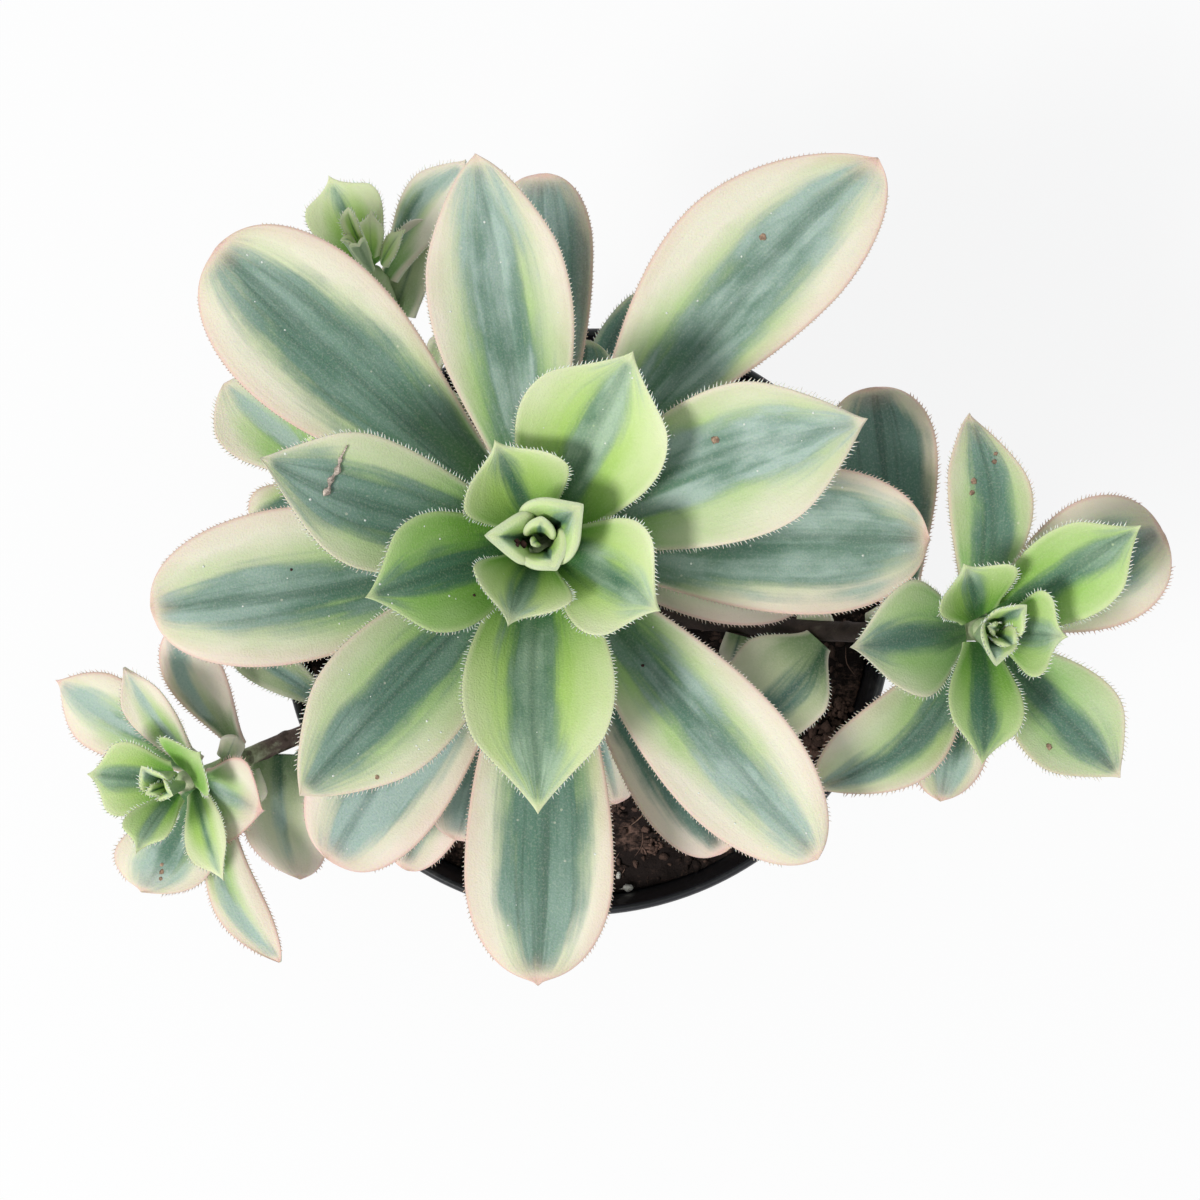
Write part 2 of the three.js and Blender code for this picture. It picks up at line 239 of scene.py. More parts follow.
class Graph:
    """The node tree of one new material, around one Principled shader."""

    def __init__(self, name, **constants):
        self.material = bpy.data.materials.new(name)
        self.material.use_nodes = True
        self.tree = self.material.node_tree
        self.shader = next(n for n in self.tree.nodes if n.type == "BSDF_PRINCIPLED")
        for socket, value in constants.items():
            self.shader.inputs[socket.replace("_", " ")].default_value = value
        self.place = self.node("ShaderNodeTexCoord", {}, {}, output="Object")

    def node(self, kind, settings, inputs, output=0):
        """Any node: its settings first, then the values or links of its sockets."""
        node = self.tree.nodes.new(kind)
        for key, value in settings.items():
            setattr(node, key, value)
        for key, value in inputs.items():
            self.feed(node.inputs[key], value)
        return Value(self, node.outputs[output])

    def feed(self, socket, value):
        if isinstance(value, Value):
            self.tree.links.new(value.socket, socket)
        else:
            socket.default_value = (*value, 1.0) if socket.type == "RGBA" else value

    def math(self, operation, *values):
        return self.node("ShaderNodeMath", {"operation": operation}, dict(enumerate(values)))

    def mix(self, factor, a, b):
        settings = {"data_type": "RGBA", "clamp_factor": True}
        return self.node("ShaderNodeMix", settings, {0: factor, 6: a, 7: b}, output=2)

    def attributes(self, *names):
        return [self.node("ShaderNodeAttribute", {"attribute_name": name}, {}, output="Fac")
                for name in names]

    def ease(self, value, low, high):
        """0 where value is at low, 1 at high and an even S between them."""
        inputs = {"Value": value, "From Min": low, "From Max": high}
        return self.node("ShaderNodeMapRange", {"interpolation_type": "SMOOTHSTEP"}, inputs)

    def noise(self, scale, detail=3.0, roughness=0.55, place=None):
        inputs = {"Vector": place or self.place, "Scale": scale, "Detail": detail,
                  "Roughness": roughness}
        return self.node("ShaderNodeTexNoise", {}, inputs)

    def streaks(self, place, scale, detail=3.0, roughness=0.55):
        """Noise drawn out by a different scale along each axis."""
        drawn = self.node("ShaderNodeMapping", {}, {"Vector": place, "Scale": scale})
        return self.noise(1, detail, roughness, drawn)

    def bump(self, height, distance, strength=1.0):
        inputs = {"Height": height, "Distance": distance, "Strength": strength}
        return self.node("ShaderNodeBump", {}, inputs)

    def finish(self, base, roughness, normal=None):
        for socket, value in (("Base Color", base), ("Roughness", roughness), ("Normal", normal)):
            if value:
                self.feed(self.shader.inputs[socket], value)
        return self.material


def kept_material(name, build, *details):
    """The material of that name, built the first time it is asked for."""
    return bpy.data.materials.get(name) or build(name, *details)


# ---- finishes ----

def plastic_material(name, pot):
    """Moulded black plastic: a soft sheen, faint drawn lines round it and dry dust in patches."""
    g = Graph(name, Specular_IOR_Level=0.55)
    cloud = g.noise(60, 4)
    fine = g.noise(900)
    lines = g.streaks(g.place, (60, 60, 2500), 2)
    dusty = g.ease(cloud * 0.6 + fine * 0.4, 0.5, 0.78) * 0.35
    base = g.mix(dusty, pot.plastic, pot.dust)
    roughness = 0.3 + cloud * 0.18 + dusty * 0.7
    return g.finish(base, roughness, g.bump(lines * 0.5 + fine * 0.5, 0.00012, 0.6))


def soil_material(name, soil):
    """Damp peat: near black, with lighter fibrous crumbs, a rough grain and painted shadow in the low
    spots of the grain.
    """
    g = Graph(name, Specular_IOR_Level=0.2)
    lumps = g.noise(90, 6, 0.7)
    grain = g.noise(1100, 4, 0.7)
    strands = g.streaks(g.place, (300, 1600, 900), 3, 0.6)
    dry = g.ease(lumps * 0.55 + grain * 0.25 + strands * 0.2, 0.49, 0.66)
    base = g.mix(dry, soil.peat, soil.clod)
    # Painted shadow: near-black in the low spots of the fine grain, for the shade between crumbs.
    base = g.mix(g.ease(grain, 0.38, 0.3), base, tint("0d0a0a"))
    return g.finish(base, 0.75 + grain * 0.25, g.bump(grain * 0.6 + strands * 0.4, 0.0009))


def crumb_material(name, soil):
    """Loose crumbs, each with its own tone between damp peat and dry clod."""
    g = Graph(name, Specular_IOR_Level=0.2)
    tone, = g.attributes("tone")
    grain = g.noise(1500, 4, 0.7)
    base = g.mix(tone * 0.75 + (grain - 0.5) * 0.9, soil.peat, soil.clod)
    return g.finish(base, 0.8 + grain * 0.2, g.bump(grain, 0.0006))


def fibre_material(name, soil):
    g = Graph(name, Specular_IOR_Level=0.3)
    tone, = g.attributes("tone")
    grain = g.noise(2500)
    base = g.mix(tone * 0.8 + (grain - 0.5) * 0.5, soil.clod, soil.fibre)
    return g.finish(base, 0.6 + grain * 0.3, g.bump(grain, 0.0002))


def grain_material(name, soil):
    """Porous white grains with soil caught in their pits."""
    g = Graph(name, Specular_IOR_Level=0.3)
    pits = g.noise(1600, 5, 0.7)
    base = g.mix(g.ease(pits, 0.5, 0.3), soil.grain, soil.clod)
    return g.finish(base, 0.7 + pits * 0.25, g.bump(pits, 0.0005))


def stem_material(name, stems):
    """Brown bark with cracks and pale nodes, turning green towards the growing end, and darkened by
    painted shade on a branch that lies in shadow.
    """
    g = Graph(name, Specular_IOR_Level=0.3)
    along, green, worn, scar = g.attributes("along", "green", "worn", "scar")
    lumps = g.noise(260, 5, 0.65)
    grain = g.noise(1800)
    bark = g.mix(g.ease(lumps, 0.55, 0.36), stems.bark, stems.crack)
    bark = g.mix(g.ease(lumps, 0.56, 0.7) * 0.3, bark, stems.node)
    # Painted shade: the bark darkened towards a near-black crack colour where a branch lies in shadow.
    bark = g.mix(worn, bark, dimmed(stems.crack, 0.3))
    skin = g.mix(g.ease(lumps, 0.4, 0.7) * 0.6, stems.sap, stems.node)
    alive = g.ease(along + (lumps - 0.5) * 0.3, 1 - green, 1.12 - green)
    base = g.mix(alive, bark, skin)
    base = g.mix(g.ease(scar, 0.35, 0.9) * 0.6, base, stems.crack)
    return g.finish(base, 0.55 + lumps * 0.3, g.bump(lumps * 0.7 + grain * 0.3, 0.0006, 0.8))


def blade_material(name, leaves, stage):
    """A leaf: a streaked blue-green band along the middle, pale sides, a blushed margin, bloom on top.

    The blade's own attributes say where on it a point is: across from -1 to 1, along from base to
    tip, upper above 0 on the top face, inset the millimetres from the margin, girth the share of
    its greatest width. The others are the leaf's own band width, band offset, bloom, cream and
    blush. Bloom and cream may pass 1, because a mix stops at 1. On leaves that lie in shade, high
    bloom and cream are partly painted light that lightens the whole leaf.
    """
    side, edge, deep, dark, band, bloom = (getattr(leaves, f"{stage}_{part}") for part in BLADE_PARTS)
    g = Graph(name, Specular_IOR_Level=0.35, Subsurface_Weight=0.15, Subsurface_Scale=0.003,
              Subsurface_Radius=(0.6, 1.0, 0.3))
    across, along, upper, inset, girth, stripe, skew, powdery, cream, flush = g.attributes(*LEAF_LAYERS)
    skin = g.node("ShaderNodeUVMap", {"uv_map": "blade"}, {})
    streak = g.streaks(skin, (0.42, 0.02, 1), 3, 0.5)
    vein = g.streaks(skin, (1.2, 0.045, 1), 2, 0.5)
    cloud = g.streaks(skin, (0.17, 0.08, 1), 3, 0.5)
    powder = g.noise(2800, 3, 0.6)
    ahead = along + (cloud - 0.5) * 0.3

    away = abs(across * girth - skew * g.ease(along, 1.0, 0.5))
    half_band = stripe * (0.35 + 0.65 * g.ease(along, 1.0, 0.75))
    reach = half_band + (streak - 0.5) * 0.5 + (cloud - 0.5) * 0.6 + (vein - 0.5) * 0.2 - away
    inside = g.ease(reach, -0.18, 0.18) * g.ease(along, 1.0, 0.95)

    # Deep, at the base of the sides, is partly the leaf's own green and, on the young leaves, partly
    # painted shade from the leaves round it.
    flank = g.mix(g.ease(ahead, 0.0, 0.5) * g.ease(cream, -0.3, 0.5), deep, side)
    pale = g.ease(ahead, 0.35, 1.0) * (0.35 + 0.4 * cream)
    pale = pale + (0.15 + 0.6 * cream) * g.ease(away, 0.3, 0.95) * g.ease(ahead, 0.1, 0.45)
    flank = g.mix(pale + (cloud - 0.5) * 0.5, flank, edge)

    middle = g.mix(g.ease(ahead, 0.05, 0.5), dark, band)
    misty = g.ease(cloud * 0.6 + streak * 0.4, 0.38, 0.66) * powdery * g.ease(ahead, 0.15, 0.45)
    lit_end = g.ease(ahead, 0.55, 1.0) * (0.3 + 0.4 * powdery)
    middle = g.mix(lit_end + misty * 0.8, middle, bloom)
    furrow = g.ease(streak * 0.6 + vein * 0.4, 0.54, 0.36) * (0.6 - 0.4 * powdery)
    middle = g.mix(furrow, middle, dimmed(band, 0.5))
    core = g.ease(away + (vein - 0.5) * 0.15, 0.13, 0.0) * g.ease(ahead, 0.1, 0.4)
    middle = g.mix(core * (0.6 - 0.2 * powdery), middle, dimmed(band, 0.6))

    top = g.mix(inside, flank, middle)
    margin = g.ease(inset, 1.3, 0.2)
    top = g.mix(margin * (0.3 + 0.4 * cream), top, edge)
    rosy = g.ease(inset + (cloud - 0.5) * 4, 4.0, 0.1) * flush * g.ease(along, 0.2, 0.6)
    top = g.mix(rosy * 0.4, top, leaves.blush)
    top = g.mix(g.ease(inset, 0.75, 0.15) * flush * 0.8, top, leaves.blush)
    top = g.mix(g.ease(along, 0.97, 1.0) * 0.5, top, g.mix(flush, edge, leaves.blush))

    below = g.mix(inside * 0.35 + vein * 0.2, leaves.under, band)
    below = g.mix(margin * 0.6, below, edge)
    base = g.mix(g.ease(upper, -0.12, 0.12), below, top)
    base = g.mix(g.ease(powder, 0.45, 0.75) * 0.16, base, edge)
    base = g.mix(g.ease(powder, 0.5, 0.3) * (0.04 + 0.12 * inside), base, dark)
    dots = g.node("ShaderNodeTexVoronoi", {}, {"Vector": g.place, "Scale": 300}, output="Distance")
    base = g.mix(g.ease(dots, 0.09, 0.04) * g.ease(cloud, 0.5, 0.56) * 0.4, base, edge)
    roughness = 0.45 + powder * 0.2 + streak * 0.08
    return g.finish(base, roughness, g.bump(powder * 0.7 + vein * 0.5, 0.0002, 0.8))


def hair_material(name, leaves):
    """Stiff translucent margin hairs, pink on a blushed leaf."""
    g = Graph(name, Specular_IOR_Level=0.5, Subsurface_Weight=0.2, Subsurface_Scale=0.001)
    patchy = g.noise(130, 2)
    flush, = g.attributes("blush")
    base = g.mix(flush * (0.35 + patchy), leaves.hair, leaves.hair_flush)
    return g.finish(base, 0.4 + patchy * 0.15)


def husk_material(name, shade):
    """Dry plant matter: brown with paler raised grain."""
    g = Graph(name, Specular_IOR_Level=0.25)
    grain = g.noise(1400, 4, 0.7)
    pale = tuple(min(1.0, c) for c in dimmed(shade, 1.35))
    base = g.mix(g.ease(grain, 0.3, 0.72), dimmed(shade, 0.35), pale)
    return g.finish(base, 0.65 + grain * 0.3, g.bump(grain, 0.0005))


def speck_material(name, debris):
    g = Graph(name, Specular_IOR_Level=0.3)
    grain = g.noise(2500, 2)
    return g.finish(g.mix(grain * 0.3, debris.speck, debris.speck_low), 0.6 + grain * 0.3)


def floor_material(name, studio):
    """Matt pale board that glows a little, so that shadows on it stay light."""
    g = Graph(name, Specular_IOR_Level=0.1, Emission_Strength=studio.glow,
              Emission_Color=(*studio.floor, 1))
    cloud = g.noise(3, 2)
    lit = dimmed(studio.floor, 1 - studio.glow)
    return g.finish(g.mix(cloud * 0.04, lit, dimmed(lit, 0.95)), 0.85 + cloud * 0.05)


# ---- pieces ----

def new_mesh(name, bm):
    mesh = bpy.data.meshes.new(name)
    bm.to_mesh(mesh)
    bm.free()
    return mesh


def linked(name, data):
    """A new object in the scene, at the origin."""
    piece = bpy.data.objects.new(name, data)
    bpy.context.scene.collection.objects.link(piece)
    return piece


def add_piece(name, bm, slot, finishes, *nodes):
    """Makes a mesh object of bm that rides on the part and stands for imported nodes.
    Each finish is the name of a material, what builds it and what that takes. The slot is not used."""
    mesh = new_mesh(name, bm)
    for finish in finishes:
        mesh.materials.append(kept_material(*finish))
    mesh.shade_smooth()
    piece = linked(name, mesh)
    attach(piece, BODY)
    if nodes:
        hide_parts(*nodes)
    return piece


def moved(bm, rule):
    """Moves every vertex of bm to where rule puts it."""
    for vertex in bm.verts:
        vertex.co = rule(vertex.co)


# ---- pot ----

RIM_LIFT = 1.25  # half the height of the rolled lip, in millimetres
DRILL_DEPTH = 8
DRILL_SIDES = 32
POT_STEPS = 180


def pot_profile(pot):
    """The wall's section as (radius, height) pairs in millimetres, from the middle of the foot
    round the outside, over the rolled lip and back down the inside."""
    height, rim, base, wall, floor, lip, step, collar_height = (
        getattr(pot, key) / MM for key in (
            "height", "rim_radius", "base_radius", "wall", "floor", "lip_width", "collar_step",
            "collar_height"))
    shoulder = rim - lip - step
    low = height - collar_height
    collar = shoulder + step
    inside = collar - wall
    foot = [(0.0, 1.2), (base - 9, 1.2), (base - 8, 0.9), (base - 7, 0.2), (base - 6.4, 0.0),
            (base - 1.4, 0.0), (base - 0.5, 0.25), (base, 1.0)]
    outside = [(mix(base, shoulder, i / 12), mix(1.0, low, i / 12)) for i in range(1, 12)]
    band = [(shoulder - 0.05, low - 0.5), (shoulder, low - 0.1), (shoulder + 0.35, low + 0.15),
            (collar - 0.25, low + 0.45), (collar, low + 0.9), (collar + 0.15, low + 6),
            (collar + 0.35, height - 4)]
    roll = []
    for i in range(15):
        turn = radians(mix(-70, 190, i / 14))
        roll.append((rim - lip / 2 + lip / 2 * cos(turn),
                     height - RIM_LIFT + RIM_LIFT * sin(turn)))
    inner = [(inside + 0.6, height - 3), (inside + 0.2, height - 8), (inside, low + 1.9),
             (inside - 0.5, low + 0.9), (shoulder - wall, low - 0.4)]
    down = [(mix(shoulder, base, i / 10) - wall, mix(low - 0.4, floor, i / 10)) for i in range(1, 10)]
    bottom = [(base - wall - 0.4, floor + 0.6), (base - wall - 1.4, floor), (0.0, floor)]
    return foot + outside + band + roll + inner + down + bottom


def pressed_oval(pot, co):
    """Pushes the round pot slightly oval, more at the thin rim than at the stiff base."""
    share = pot.oval * (co.z / (pot.height / MM)) ** 2
    wide = toward(pot.oval_azimuth)
    narrow = Vector((-wide.y, wide.x, 0))
    return co + wide * (co.dot(wide) * share) - narrow * (co.dot(narrow) * share)


def spun(profile, steps):
    """A closed turned shape from (radius, height) pairs that start and end on the axis."""
    bm = bmesh.new()
    verts = [bm.verts.new((r, 0, z)) for r, z in profile]
    edges = [bm.edges.new(pair) for pair in zip(verts, verts[1:])]
    bmesh.ops.spin(
        bm, geom=verts + edges, cent=(0, 0, 0), axis=(0, 0, 1), dvec=(0, 0, 0),
        angle=tau, steps=steps, use_merge=True)
    bmesh.ops.remove_doubles(bm, verts=bm.verts[:], dist=1e-4)
    bmesh.ops.recalc_face_normals(bm, faces=bm.faces[:])
    return bm


def cut_drain_holes(mesh, pot):
    """Cuts the ring of round drain holes through the floor and returns the cut mesh."""
    cutter = bmesh.new()
    radius = pot.drain_radius / MM
    for i in range(pot.drain_holes):
        place = toward(360 * i / pot.drain_holes) * (pot.drain_circle / MM)
        bmesh.ops.create_cone(
            cutter, cap_ends=True, segments=DRILL_SIDES, radius1=radius, radius2=radius,
            depth=DRILL_DEPTH, matrix=Matrix.Translation(place))
    wall = linked("pot_blank", mesh)
    drill = linked("drain_drill", new_mesh("drain_holes", cutter))
    cut = wall.modifiers.new("drain", "BOOLEAN")
    cut.operation = "DIFFERENCE"
    cut.solver = "EXACT"
    cut.object = drill
    graph = bpy.context.evaluated_depsgraph_get()
    result = bpy.data.meshes.new_from_object(wall.evaluated_get(graph))
    for blank in (wall, drill):
        bpy.data.objects.remove(blank)
    return result


class SUCCULENT_OT_pot(bpy.types.Operator):
    """Turn the black nursery pot and cut its drain holes"""
    bl_idname = "succulent.pot"
    bl_label = "Pot"

    def execute(self, context):
        pot = context.scene.succulent_pot
        blank = new_mesh("pot_blank", spun(pot_profile(pot), POT_STEPS))
        bm = bmesh.new()
        bm.from_mesh(cut_drain_holes(blank, pot))
        moved(bm, lambda co: pressed_oval(pot, co) * MM)
        plastic = ("moulded black plastic", plastic_material, pot)
        add_piece("pot_shell", bm, "pot_plastic", [plastic], "pot")
        return {"FINISHED"}


# ---- soil ----

MOUND_RADIUS = 57.0
BED_RADIUS = 56.8
BED_STEPS = 100
BED_TURNS = 300
CLOD_PARTS = 40  # crumbs that make up one clod
FIBRE_MESH = (4, 6)  # sides and rings
CRUMB_SEED, FIBRE_SEED, GRAIN_SEED = 11, 23, 31

# The dry brown clods that show between the leaves: place across the soil, and size.
CLODS = [
    ((48.5, -24.0), 4.2), ((45.5, -15.0), 2.6), ((51.5, -18.5), 2.4), ((40.0, -22.5), 1.9),
    ((33.0, -30.0), 2.1), ((24.0, -41.0), 1.8), ((13.0, -46.0), 2.0), ((5.5, -38.0), 1.7),
    ((30.0, -38.5), 1.6), ((-20.0, -47.0), 1.9), ((-27.0, -42.5), 1.6), ((19.0, -12.0), 2.0),
    ((27.0, -8.5), 1.6), ((21.0, -33.0), 1.5),
]
FRONT_GRAINS = [((8.0, -54.5), 0.9), ((6.2, -52.0), 0.6)]  # two white grains in front of the stem


def on_soil(soil, spot, lift=0.0):
    """A place on the soil's surface, in millimetres, without its finest crumbs."""
    share = min(1.0, hypot(spot.x, spot.y) / MOUND_RADIUS)
    mound = soil.mound / MM * cos(share * pi / 2)
    flat = (spot.x, spot.y, 0)
    lumps = 0.9 * wobble(flat, 17, 3.1) + 0.9 * wobble(flat, 6.5, 8.2)
    return Vector((spot.x, spot.y, soil.top / MM + mound + lumps + lift))


def soil_spot(draw, soil, outer=55.0, inner=7.0):
    """A random place on the soil, in millimetres."""
    radius = sqrt(draw.uniform(inner ** 2, outer ** 2))
    return on_soil(soil, toward(draw.uniform(0, 360)) * radius)


def toned_bmesh():
    bm = bmesh.new()
    bm.verts.layers.float.new("tone")
    return bm


def set_tone(bm, verts, tone):
    layer = bm.verts.layers.float["tone"]
    for vertex in verts:
        vertex[layer] = tone


def add_lump(bm, spot, size, seed, flat=0.7, faces=1):
    """An uneven little lump at a spot; returns its vertices."""
    made = bmesh.ops.create_icosphere(bm, subdivisions=faces, radius=1.0)["verts"]
    lean = 0.3 * sin(seed)
    for vertex in made:
        rough = 1 + 0.9 * wobble(vertex.co, 0.55, seed)
        vertex.co = (spot + vertex.co * Vector((1 + lean, 1 - lean, flat)) * rough * size) * MM
    return made


def scatter_crumbs(soil):
    draw = random.Random(CRUMB_SEED)
    bm = toned_bmesh()
    for _ in range(soil.crumbs):
        spot = soil_spot(draw, soil)
        size = draw.uniform(0.3, 0.8) + draw.random() ** 6 * 1.1
        spot.z += 0.3 * size
        made = add_lump(bm, spot, size, draw.uniform(0, 50))
        set_tone(bm, made, draw.random() ** 1.6)
    for (x, y), size in CLODS:
        for _ in range(CLOD_PARTS):
            off = toward(draw.uniform(0, 360)) * draw.random() ** 0.6
            heap = 0.45 * size * (1 - off.length ** 2)
            spot = on_soil(soil, Vector((x, y, 0)) + off * size, heap)
            made = add_lump(bm, spot, size * draw.uniform(0.14, 0.34), draw.uniform(0, 50), 0.8)
            set_tone(bm, made, draw.uniform(0.45, 1.2))
    add_piece("soil_crumbs", bm, "soil", [("peat crumbs", crumb_material, soil)])


def scatter_fibres(soil):
    draw = random.Random(FIBRE_SEED)
    bm = toned_bmesh()
    for _ in range(soil.fibres):
        start = soil_spot(draw, soil, 53)
        heading = draw.uniform(0, 360)
        span = draw.uniform(1.5, 4) + draw.random() ** 3 * 6
        middle = start + toward(heading) * span / 2
        end = middle + toward(heading + draw.uniform(-35, 35)) * span / 2
        points = [on_soil(soil, spot, draw.uniform(0.5, 1.3)) for spot in (start, middle, end)]
        radius = draw.uniform(0.08, 0.24)
        made = add_tube(
            bm, points, *FIBRE_MESH, lambda _, share: radius * (1 - 0.6 * abs(2 * share - 1)))
        set_tone(bm, made, draw.random())
    add_piece("soil_fibres", bm, "soil", [("coir fibres", fibre_material, soil)])


def scatter_grains(soil):
    draw = random.Random(GRAIN_SEED)
    bm = bmesh.new()
    spots = [(on_soil(soil, Vector((x, y, 0)), 0.6), size) for (x, y), size in FRONT_GRAINS]
    spots += [(soil_spot(draw, soil), draw.uniform(0.5, 1.1)) for _ in range(soil.grains)]
    for spot, size in spots:
        add_lump(bm, spot + Vector((0, 0, 0.5)), size, draw.uniform(0, 50), 0.8, 2)
    add_piece("soil_grains", bm, "soil", [("white mineral grains", grain_material, soil)])


class SUCCULENT_OT_soil(bpy.types.Operator):
    """Fill the pot with peat, crumbs, fibres and white grains"""
    bl_idname = "succulent.soil"
    bl_label = "Soil"

    def execute(self, context):
        soil = context.scene.succulent_soil
        pot = context.scene.succulent_pot
        top = soil.top / MM
        profile = [(0.0, 1.8), (40.2, 1.8), (41.4, 2.8), (55.5, 79.6), (BED_RADIUS, 81.9)]
        profile += [(BED_RADIUS * (1 - i / BED_STEPS), top) for i in range(BED_STEPS + 1)]
        bm = spun(profile, BED_TURNS)

        def crumble(co):
            if co.z > top - 0.01:
                fine = 0.9 * wobble(co, 2.6, 5.5) + 0.8 * wobble(co, 1.2, 9.1)
                co = on_soil(soil, co, fine)
            return pressed_oval(pot, co) * MM

        moved(bm, crumble)
        add_piece("soil_bed", bm, "soil", [("damp peat", soil_material, soil)], "potting_soil")
        scatter_crumbs(soil)
        scatter_fibres(soil)
        scatter_grains(soil)
        return {"FINISHED"}


# ---- stems ----

POLE = 1e-5  # a vertex of a unit sphere nearer to its axis than this is a pole
CURVE_STEPS = 16
PATH_SAMPLES = 64
STEM_MESH = (28, 150)


class Path:
    """A smooth curve through points, with a ring around any place on it."""

    def __init__(self, points):
        ends = [Vector(p) for p in points]
        ends = [2 * ends[0] - ends[1]] + ends + [2 * ends[-1] - ends[-2]]
        raw = []
        for a, b, c, d in zip(ends, ends[1:], ends[2:], ends[3:]):
            for i in range(CURVE_STEPS):
                t = i / CURVE_STEPS
                raw.append(0.5 * (2 * b + (c - a) * t + (2 * a - 5 * b + 4 * c - d) * t ** 2
                                  + (3 * b - a - 3 * c + d) * t ** 3))
        raw.append(ends[-2])
        self.places = self.even(raw)
        self.frames = self.carry()

    def even(self, raw):
        """The curve again at equal distances."""
        lengths = [0.0]
        for a, b in zip(raw, raw[1:]):
            lengths.append(lengths[-1] + (b - a).length)
        self.length = lengths[-1]
        places = []
        at = 0
        for i in range(PATH_SAMPLES + 1):
            want = self.length * i / PATH_SAMPLES
            while at < len(raw) - 2 and lengths[at + 1] < want:
                at += 1
            step = lengths[at + 1] - lengths[at]
            places.append(raw[at].lerp(raw[at + 1], (want - lengths[at]) / max(step, 1e-9)))
        return places

    def carry(self):
        """A sideways direction at each place, carried along without twist."""
        frames = []
        first = (self.places[1] - self.places[0]).normalized()
        side = first.cross(Vector((0, 0, 1)))
        side = side.normalized() if side.length > 0.05 else Vector((1, 0, 0))
        for i in range(PATH_SAMPLES + 1):
            ahead = self.places[min(i + 1, PATH_SAMPLES)] - self.places[max(i - 1, 0)]
            ahead.normalize()
            side = (side - ahead * side.dot(ahead)).normalized()
            frames.append((side, ahead.cross(side)))
        return frames

    def point(self, share, x, y, girth):
        """The place at a share of the length, off the middle by girth towards (x, y)."""
        at = share * PATH_SAMPLES
        low = min(int(at), PATH_SAMPLES - 1)
        centre = self.places[low].lerp(self.places[low + 1], at - low)
        side, up = self.frames[low]
        ring = hypot(x, y)
        return centre if ring <= POLE else centre + (side * x + up * y) * (girth / ring)


def add_tube(bm, points, sides, rings, girth_at):
    """A sphere drawn out along a curve; girth_at gives its radius for a vertex at a share of the
    length. Returns its vertices."""
    made = bmesh.ops.create_uvsphere(bm, u_segments=sides, v_segments=rings, radius=1)["verts"]
    path = Path(points)
    for vertex in made:
        share = acos(max(-1, min(1, -vertex.co.z))) / pi
        girth = girth_at(vertex, share)
        vertex.co = path.point(share, vertex.co.x, vertex.co.y, girth) * MM
    return made


# The stems as in the part: radii evenly along each, how much of its end is still green, how much
# painted shade darkens its bark where it lies in shadow, and points on its middle.
STEMS = {
    "main_stem": (
        (4.2, 4.2, 4.0, 3.6, 3.2, 2.9, 2.6, 2.2), 0.25, 0,
        [(0, 0, 64.5), (0, 0.2, 82), (-1.2, 2.6, 92), (-3.4, 7, 102), (-5.8, 11, 112),
         (-7.6, 14.4, 130), (-7.6, 14.4, 150), (-7.6, 14.4, 171)]),
    "left_branch": (
        (1.9, 1.8, 1.7, 1.7, 1.8, 2.0), 0.3, 0,
        [(-6.2, 0.6, 90), (-20, -6, 95), (-42, -16, 101), (-62, -24.4, 107), (-72.4, -28.8, 117.5),
         (-75.2, -29.4, 128)]),
    # The right branch lies in shadow under a leaf, so its bark carries painted shade.
    "right_branch": (
        (2.2, 2.0, 1.9, 1.9, 2.0, 2.0), 0.3, 0.75,
        [(4.2, 2.2, 91.6), (22, 0.6, 104), (44, -1.4, 119), (60, -1.6, 137), (67.4, -0.8, 152),
         (68.4, -0.6, 164)]),
    "back_left_branch": (
        (2.4, 2.3, 2.2, 2.1, 2.1, 1.9), 0.55, 0,
        [(-5.6, 10.2, 93), (-13, 24, 99), (-22, 38, 104), (-31.6, 47.5, 109), (-36.8, 56, 114.5),
         (-38.4, 62.2, 123), (-40, 65.3, 129.3)]),
    "west_branch": (
        (1.9, 1.8, 1.7, 1.6, 1.6), 0.4, 0,
        [(-7.8, 6.6, 96), (-22, 12, 106), (-38, 20, 118), (-47, 25.5, 128), (-49.5, 27.3, 136)]),
}

NODE_SPACING = 4.6  # millimetres of stem between two leaf scars
SPIRAL = 137.5  # degrees from one leaf scar to the next
SCAR_HEIGHT = 0.25
BARK_RELIEF = 0.09


def scar_at(distance, around):
    """How much a leaf scar stands up at a place on the bark: scars follow the leaf spiral."""
    step = round(distance / NODE_SPACING)
    turn = cos(around - radians(SPIRAL) * step)
    return smooth(0.35, 0.95, turn) * smooth(1.3, 0.35, abs(distance - step * NODE_SPACING))


def build_stem(stems, name, radii, green, worn, points):
    bm = bmesh.new()
    layers = [bm.verts.layers.float.new(key) for key in ("along", "green", "worn", "scar")]
    span = Path(points).length

    def girth_at(vertex, share):
        at = share * (len(radii) - 1)
        low = min(int(at), len(radii) - 2)
        distance = share * span
        around = atan2(vertex.co.y, vertex.co.x)
        scar = scar_at(distance, around)
        cork = (3 * cos(around), 3 * sin(around), distance)
        rough = BARK_RELIEF * wobble(cork, 2.4, len(name))
        mark = scar * smooth(0.6, 1.2, abs(sin(2 * around)) + scar)
        for layer, value in zip(layers, (share, green, worn, mark)):
            vertex[layer] = value
        relief = (SCAR_HEIGHT * scar + rough) * smooth(0, 0.02, share) * smooth(1, 0.98, share)
        return mix(radii[low], radii[low + 1], at - low) + relief

    add_tube(bm, points, *STEM_MESH, girth_at)
    bmesh.ops.recalc_face_normals(bm, faces=bm.faces[:])
    add_piece(f"{name}_bark", bm, "stem_bark", [("scarred bark", stem_material, stems)], name)


class SUCCULENT_OT_stems(bpy.types.Operator):
    """Grow the main stem and its four branches"""
    bl_idname = "succulent.stems"
    bl_label = "Stems"

    def execute(self, context):
        for name, shape in STEMS.items():
            build_stem(context.scene.succulent_stems, name, *shape)
        return {"FINISHED"}


# ---- leaves ----

